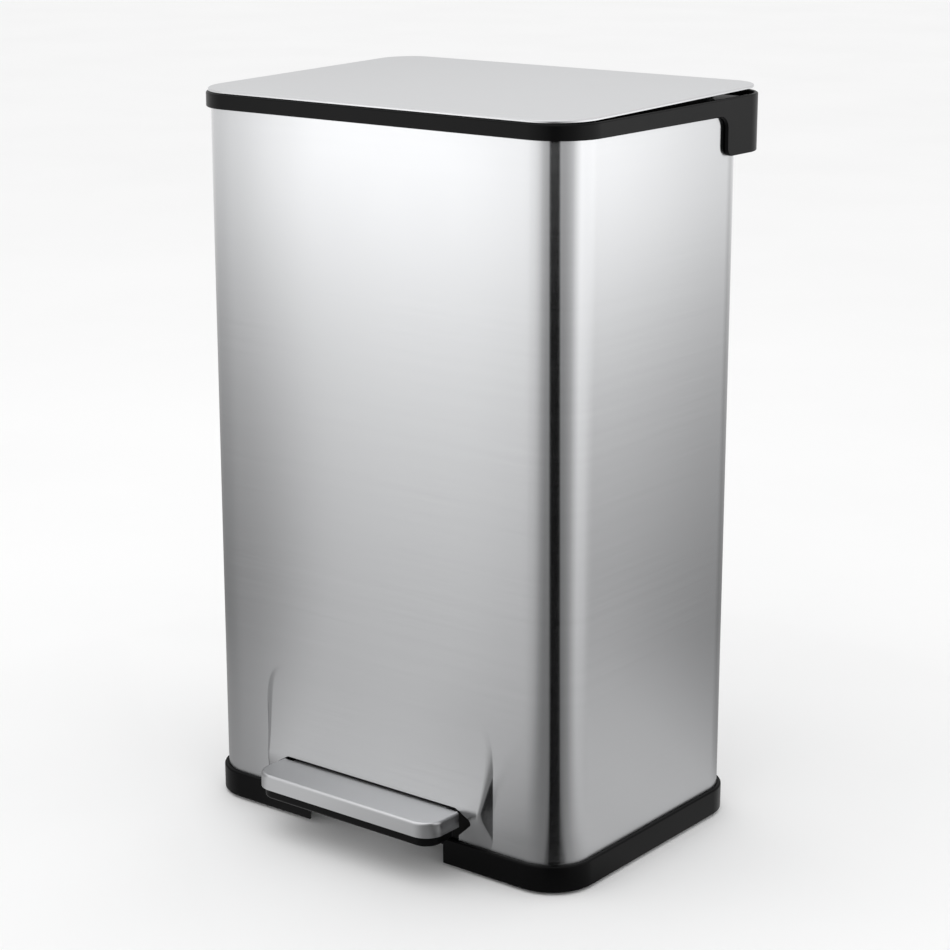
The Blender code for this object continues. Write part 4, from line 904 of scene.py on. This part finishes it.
def softbox(name, azimuth, distance, height, width, tall, radiance, tilt=0.0):
    """Large area light standing round the can, facing it."""
    data = bpy.data.lights.new(name, "AREA")
    data.shape = "RECTANGLE"
    data.size = width
    data.size_y = tall
    data.energy = radiance * math.pi * width * tall
    lamp = bpy.data.objects.new(name, data)
    bpy.context.scene.collection.objects.link(lamp)
    angle = math.radians(azimuth)
    out = Vector((math.sin(angle), -math.cos(angle), 0))
    lamp.location = out * distance + Vector((0, MIDDLE_Y, height))
    facing = -out + Vector((0, 0, tilt))
    lamp.rotation_euler = facing.to_track_quat("-Z", "Y").to_euler()
    return lamp


TENT_RADIUS = 0.6
TENT_HIGH = 1.05
# Brightness of the tent round the can: azimuth from the front in degrees, and radiance.
TENT_ROUND = ((-180, 0.55), (-80, 0.46), (-58, 0.50), (-46, 0.54), (-42, 0.78), (-38, 0.94),
              (-30, 1.0), (-22, 1.0), (-12, 0.84), (0, 0.76), (9, 0.64), (18, 0.42), (26, 0.31),
              (55, 0.28), (61, 0.34), (68, 0.46), (75, 0.72), (83, 0.96), (106, 0.92),
              (124, 0.87), (130, 0.76), (136, 0.60), (150, 0.44), (180, 0.55))
TENT_RISE = ((0.0, 0.69), (0.07, 0.72), (0.18, 0.88), (0.28, 1.02), (0.39, 1.23), (0.47, 1.57),
             (0.54, 1.82), (0.64, 2.08))
# Beside and behind the can the brightness changes more with height: share at each azimuth, and factor.
TENT_SIDES = ((-180, 1), (-43, 1), (-36, 0), (95, 0), (110, 1), (180, 1))
SIDE_RISE = ((0.0, 1.10), (0.012, 0.76), (0.10, 0.78), (0.20, 0.82), (0.30, 0.88), (0.40, 0.98),
             (0.50, 1.05), (0.64, 1.08))
TENT_ROOF = ((0.64, 0.70), (0.754, 0.78), (0.818, 0.93), (0.878, 1.06), (1.05, 1.06))


def only_reflected(item):
    """Show a studio card in reflections alone."""
    item.visible_camera = False
    item.visible_diffuse = False
    item.visible_shadow = False
    item.visible_transmission = False


def grey_ramp(surface, source, stops, low, high):
    """Ramp through (place, value) stops along a source that runs from low to high."""
    ramp = surface.nodes.new("ShaderNodeValToRGB")
    surface.link(surface.spread(source, 0, 1, low, high), ramp.inputs["Fac"])
    elements = ramp.color_ramp.elements
    while len(elements) < len(stops):
        elements.new(1.0)
    for element, (spot, value) in zip(elements, stops):
        element.position = (spot - low) / (high - low)
        element.color = (value, value, value, 1)
    return ramp.outputs["Color"]


def make_tent():
    """Light tent: a drum of lit cloth whose brightness changes round it and up it."""
    work = bmesh.new()
    bmesh.ops.create_cone(work, segments=180, radius1=TENT_RADIUS, radius2=TENT_RADIUS, depth=TENT_HIGH,
                          matrix=Matrix.Translation((0, 0, TENT_HIGH / 2)))
    bmesh.ops.create_circle(work, cap_ends=True, segments=180, radius=TENT_RADIUS,
                            matrix=Matrix.Translation((0, 0, 0.0008)))
    tent = mesh_object("light_tent", work)
    tent.location.y = MIDDLE_Y
    cloth = Surface("tent_cloth", (0.8, 0.8, 0.8), 1.0)
    parts = cloth.nodes.new("ShaderNodeSeparateXYZ")
    cloth.link(cloth.coordinates.outputs["Object"], parts.inputs["Vector"])
    turn = cloth.math("ARCTAN2", parts.outputs["X"], cloth.math("MULTIPLY", parts.outputs["Y"], -1.0))
    round_it = grey_ramp(cloth, turn, [(math.radians(a), v) for a, v in TENT_ROUND], -math.pi, math.pi)
    rise = grey_ramp(cloth, parts.outputs["Z"], [(z, v / 2.5) for z, v in TENT_RISE], 0, 0.64)
    wall = cloth.math("MULTIPLY", cloth.math("MULTIPLY", round_it, rise), 2.5)
    sides = grey_ramp(cloth, turn, [(math.radians(a), v) for a, v in TENT_SIDES], -math.pi, math.pi)
    steep = grey_ramp(cloth, parts.outputs["Z"], [(z, v / 2) for z, v in SIDE_RISE], 0, 0.64)
    change = cloth.math("MULTIPLY", sides, cloth.math("SUBTRACT", cloth.math("MULTIPLY", steep, 2.0), 1.0))
    wall = cloth.math("MULTIPLY", wall, cloth.math("ADD", change, 1.0))
    share = cloth.spread(parts.outputs["Z"], 0, 1, 0.64, 0.72)
    roof = grey_ramp(cloth, parts.outputs["Z"], [(z, v / 1.25) for z, v in TENT_ROOF], 0.64, TENT_HIGH)
    low_part = cloth.math("MULTIPLY", wall, cloth.math("SUBTRACT", 1.0, share))
    glow = cloth.math("ADD", low_part, cloth.math("MULTIPLY", share, cloth.math("MULTIPLY", roof, 1.25)))
    cloth.shader.inputs["Base Color"].default_value = (0, 0, 0, 1)
    cloth.shader.inputs["Emission Color"].default_value = (1, 1, 1, 1)
    cloth.link(glow, cloth.shader.inputs["Emission Strength"])
    tent.data.materials.append(cloth.material)
    only_reflected(tent)


def make_flag():
    """Black card by the front right corner, folded out over the floor, for the dark line there."""
    width, distance, high, facing, lean = 0.102, 0.20, 0.68, math.radians(42), 0.065
    work = bmesh.new()
    foot = [(side * width / 2, -distance, 0.0016) for side in (-1, 1)]
    near = [(side * width / 3, -0.030, 0.0016) for side in (1, -1)]
    top = [(x - lean, y, high) for x, y, z in foot]
    corners = [work.verts.new(spot) for spot in foot + near + top]
    work.faces.new(corners[:4])
    work.faces.new((corners[1], corners[0], corners[4], corners[5]))
    flag = mesh_object("flag", work)
    flag.data.transform(Matrix.Rotation(facing, 4, "Z"))
    flag.location = (SHELL_X - 0.010, -SHELL_Y + 0.010 + MIDDLE_Y, 0)
    black = Surface("flag_cloth", (0.001, 0.001, 0.001), 1.0)
    black.shader.inputs["Specular IOR Level"].default_value = 0.0
    black.bump(black.noise((900, 900, 900)), 0.3, 0.0002)
    flag.data.materials.append(black.material)
    only_reflected(flag)


def make_stage():
    work = bmesh.new()
    bmesh.ops.create_grid(work, x_segments=24, y_segments=24, size=40)
    floor = mesh_object("floor", work)
    floor.data.materials.append(floor_paint("floor_paper"))

    world = bpy.data.worlds.new("studio")
    world.use_nodes = True
    background = world.node_tree.nodes["Background"]
    background.inputs["Color"].default_value = (1, 1, 1, 1)
    background.inputs["Strength"].default_value = 0.98
    bpy.context.scene.world = world

    softbox("top_box", -30, 0.60, 2.60, 2.20, 2.20, 0.55, tilt=-4)
    make_tent()
    make_flag()


def make_camera():
    azimuth, elevation, distance = math.radians(37.88), math.radians(15.21), 2.170
    back = Vector((math.sin(azimuth) * math.cos(elevation), -math.cos(azimuth) * math.cos(elevation),
                   math.sin(elevation)))
    aim = Vector((math.cos(azimuth), math.sin(azimuth), 0)) * 0.0043 + Vector((0, MIDDLE_Y, 0.307))
    data = bpy.data.cameras.new("camera")
    data.lens = 92.3
    data.sensor_width = 36
    camera = bpy.data.objects.new("camera", data)
    camera.location = aim + back * distance
    camera.rotation_euler = back.to_track_quat("Z", "Y").to_euler()
    bpy.context.scene.collection.objects.link(camera)
    bpy.context.scene.camera = camera


# ---------------------------------------------------------------- build

make_camera()
make_stage()
make_shell()
make_base()
make_feet()
make_collar_band()
make_collar_core()
make_hinge_cover()
make_lid_plate()
make_lid_frame()
make_bumpers()
make_pedal()
make_bucket()

for number in range(1, 5):
    make_screw(f"cover_screw_{number}", "can_body", (0, 1, 0))
    make_screw(f"crank_screw_{number}", "lid", (0, 0, -1))
    make_screw(f"bracket_screw_{number}", "can_body", (0, 0, -1))
for number in range(1, 4):
    make_screw(f"pedal_screw_{number}", "pedal", (0, 0, -1))

for node in ("lever_bracket", "pedal_lever", "lid_crank"):
    keep_cad(node, ZINC, bevel=0.0003)
for node in ("pedal_axle", "axle_clip_left", "axle_clip_right", "hinge_pin_left", "hinge_pin_right",
             "rod_clip_lower", "rod_clip_upper", "damper_clip", "damper_cylinder"):
    keep_cad(node, ZINC)
for node in ("lift_rod", "damper_rod"):
    keep_cad(node, WIRE)
for node in ("rod_guide_lower", "rod_guide_upper", "damper_bracket"):
    keep_cad(node, NYLON, bevel=0.0003)
for node in ("hinge_bush_left", "hinge_bush_right"):
    keep_cad(node, NYLON)

scene = bpy.context.scene
scene.view_settings.view_transform = "Standard"
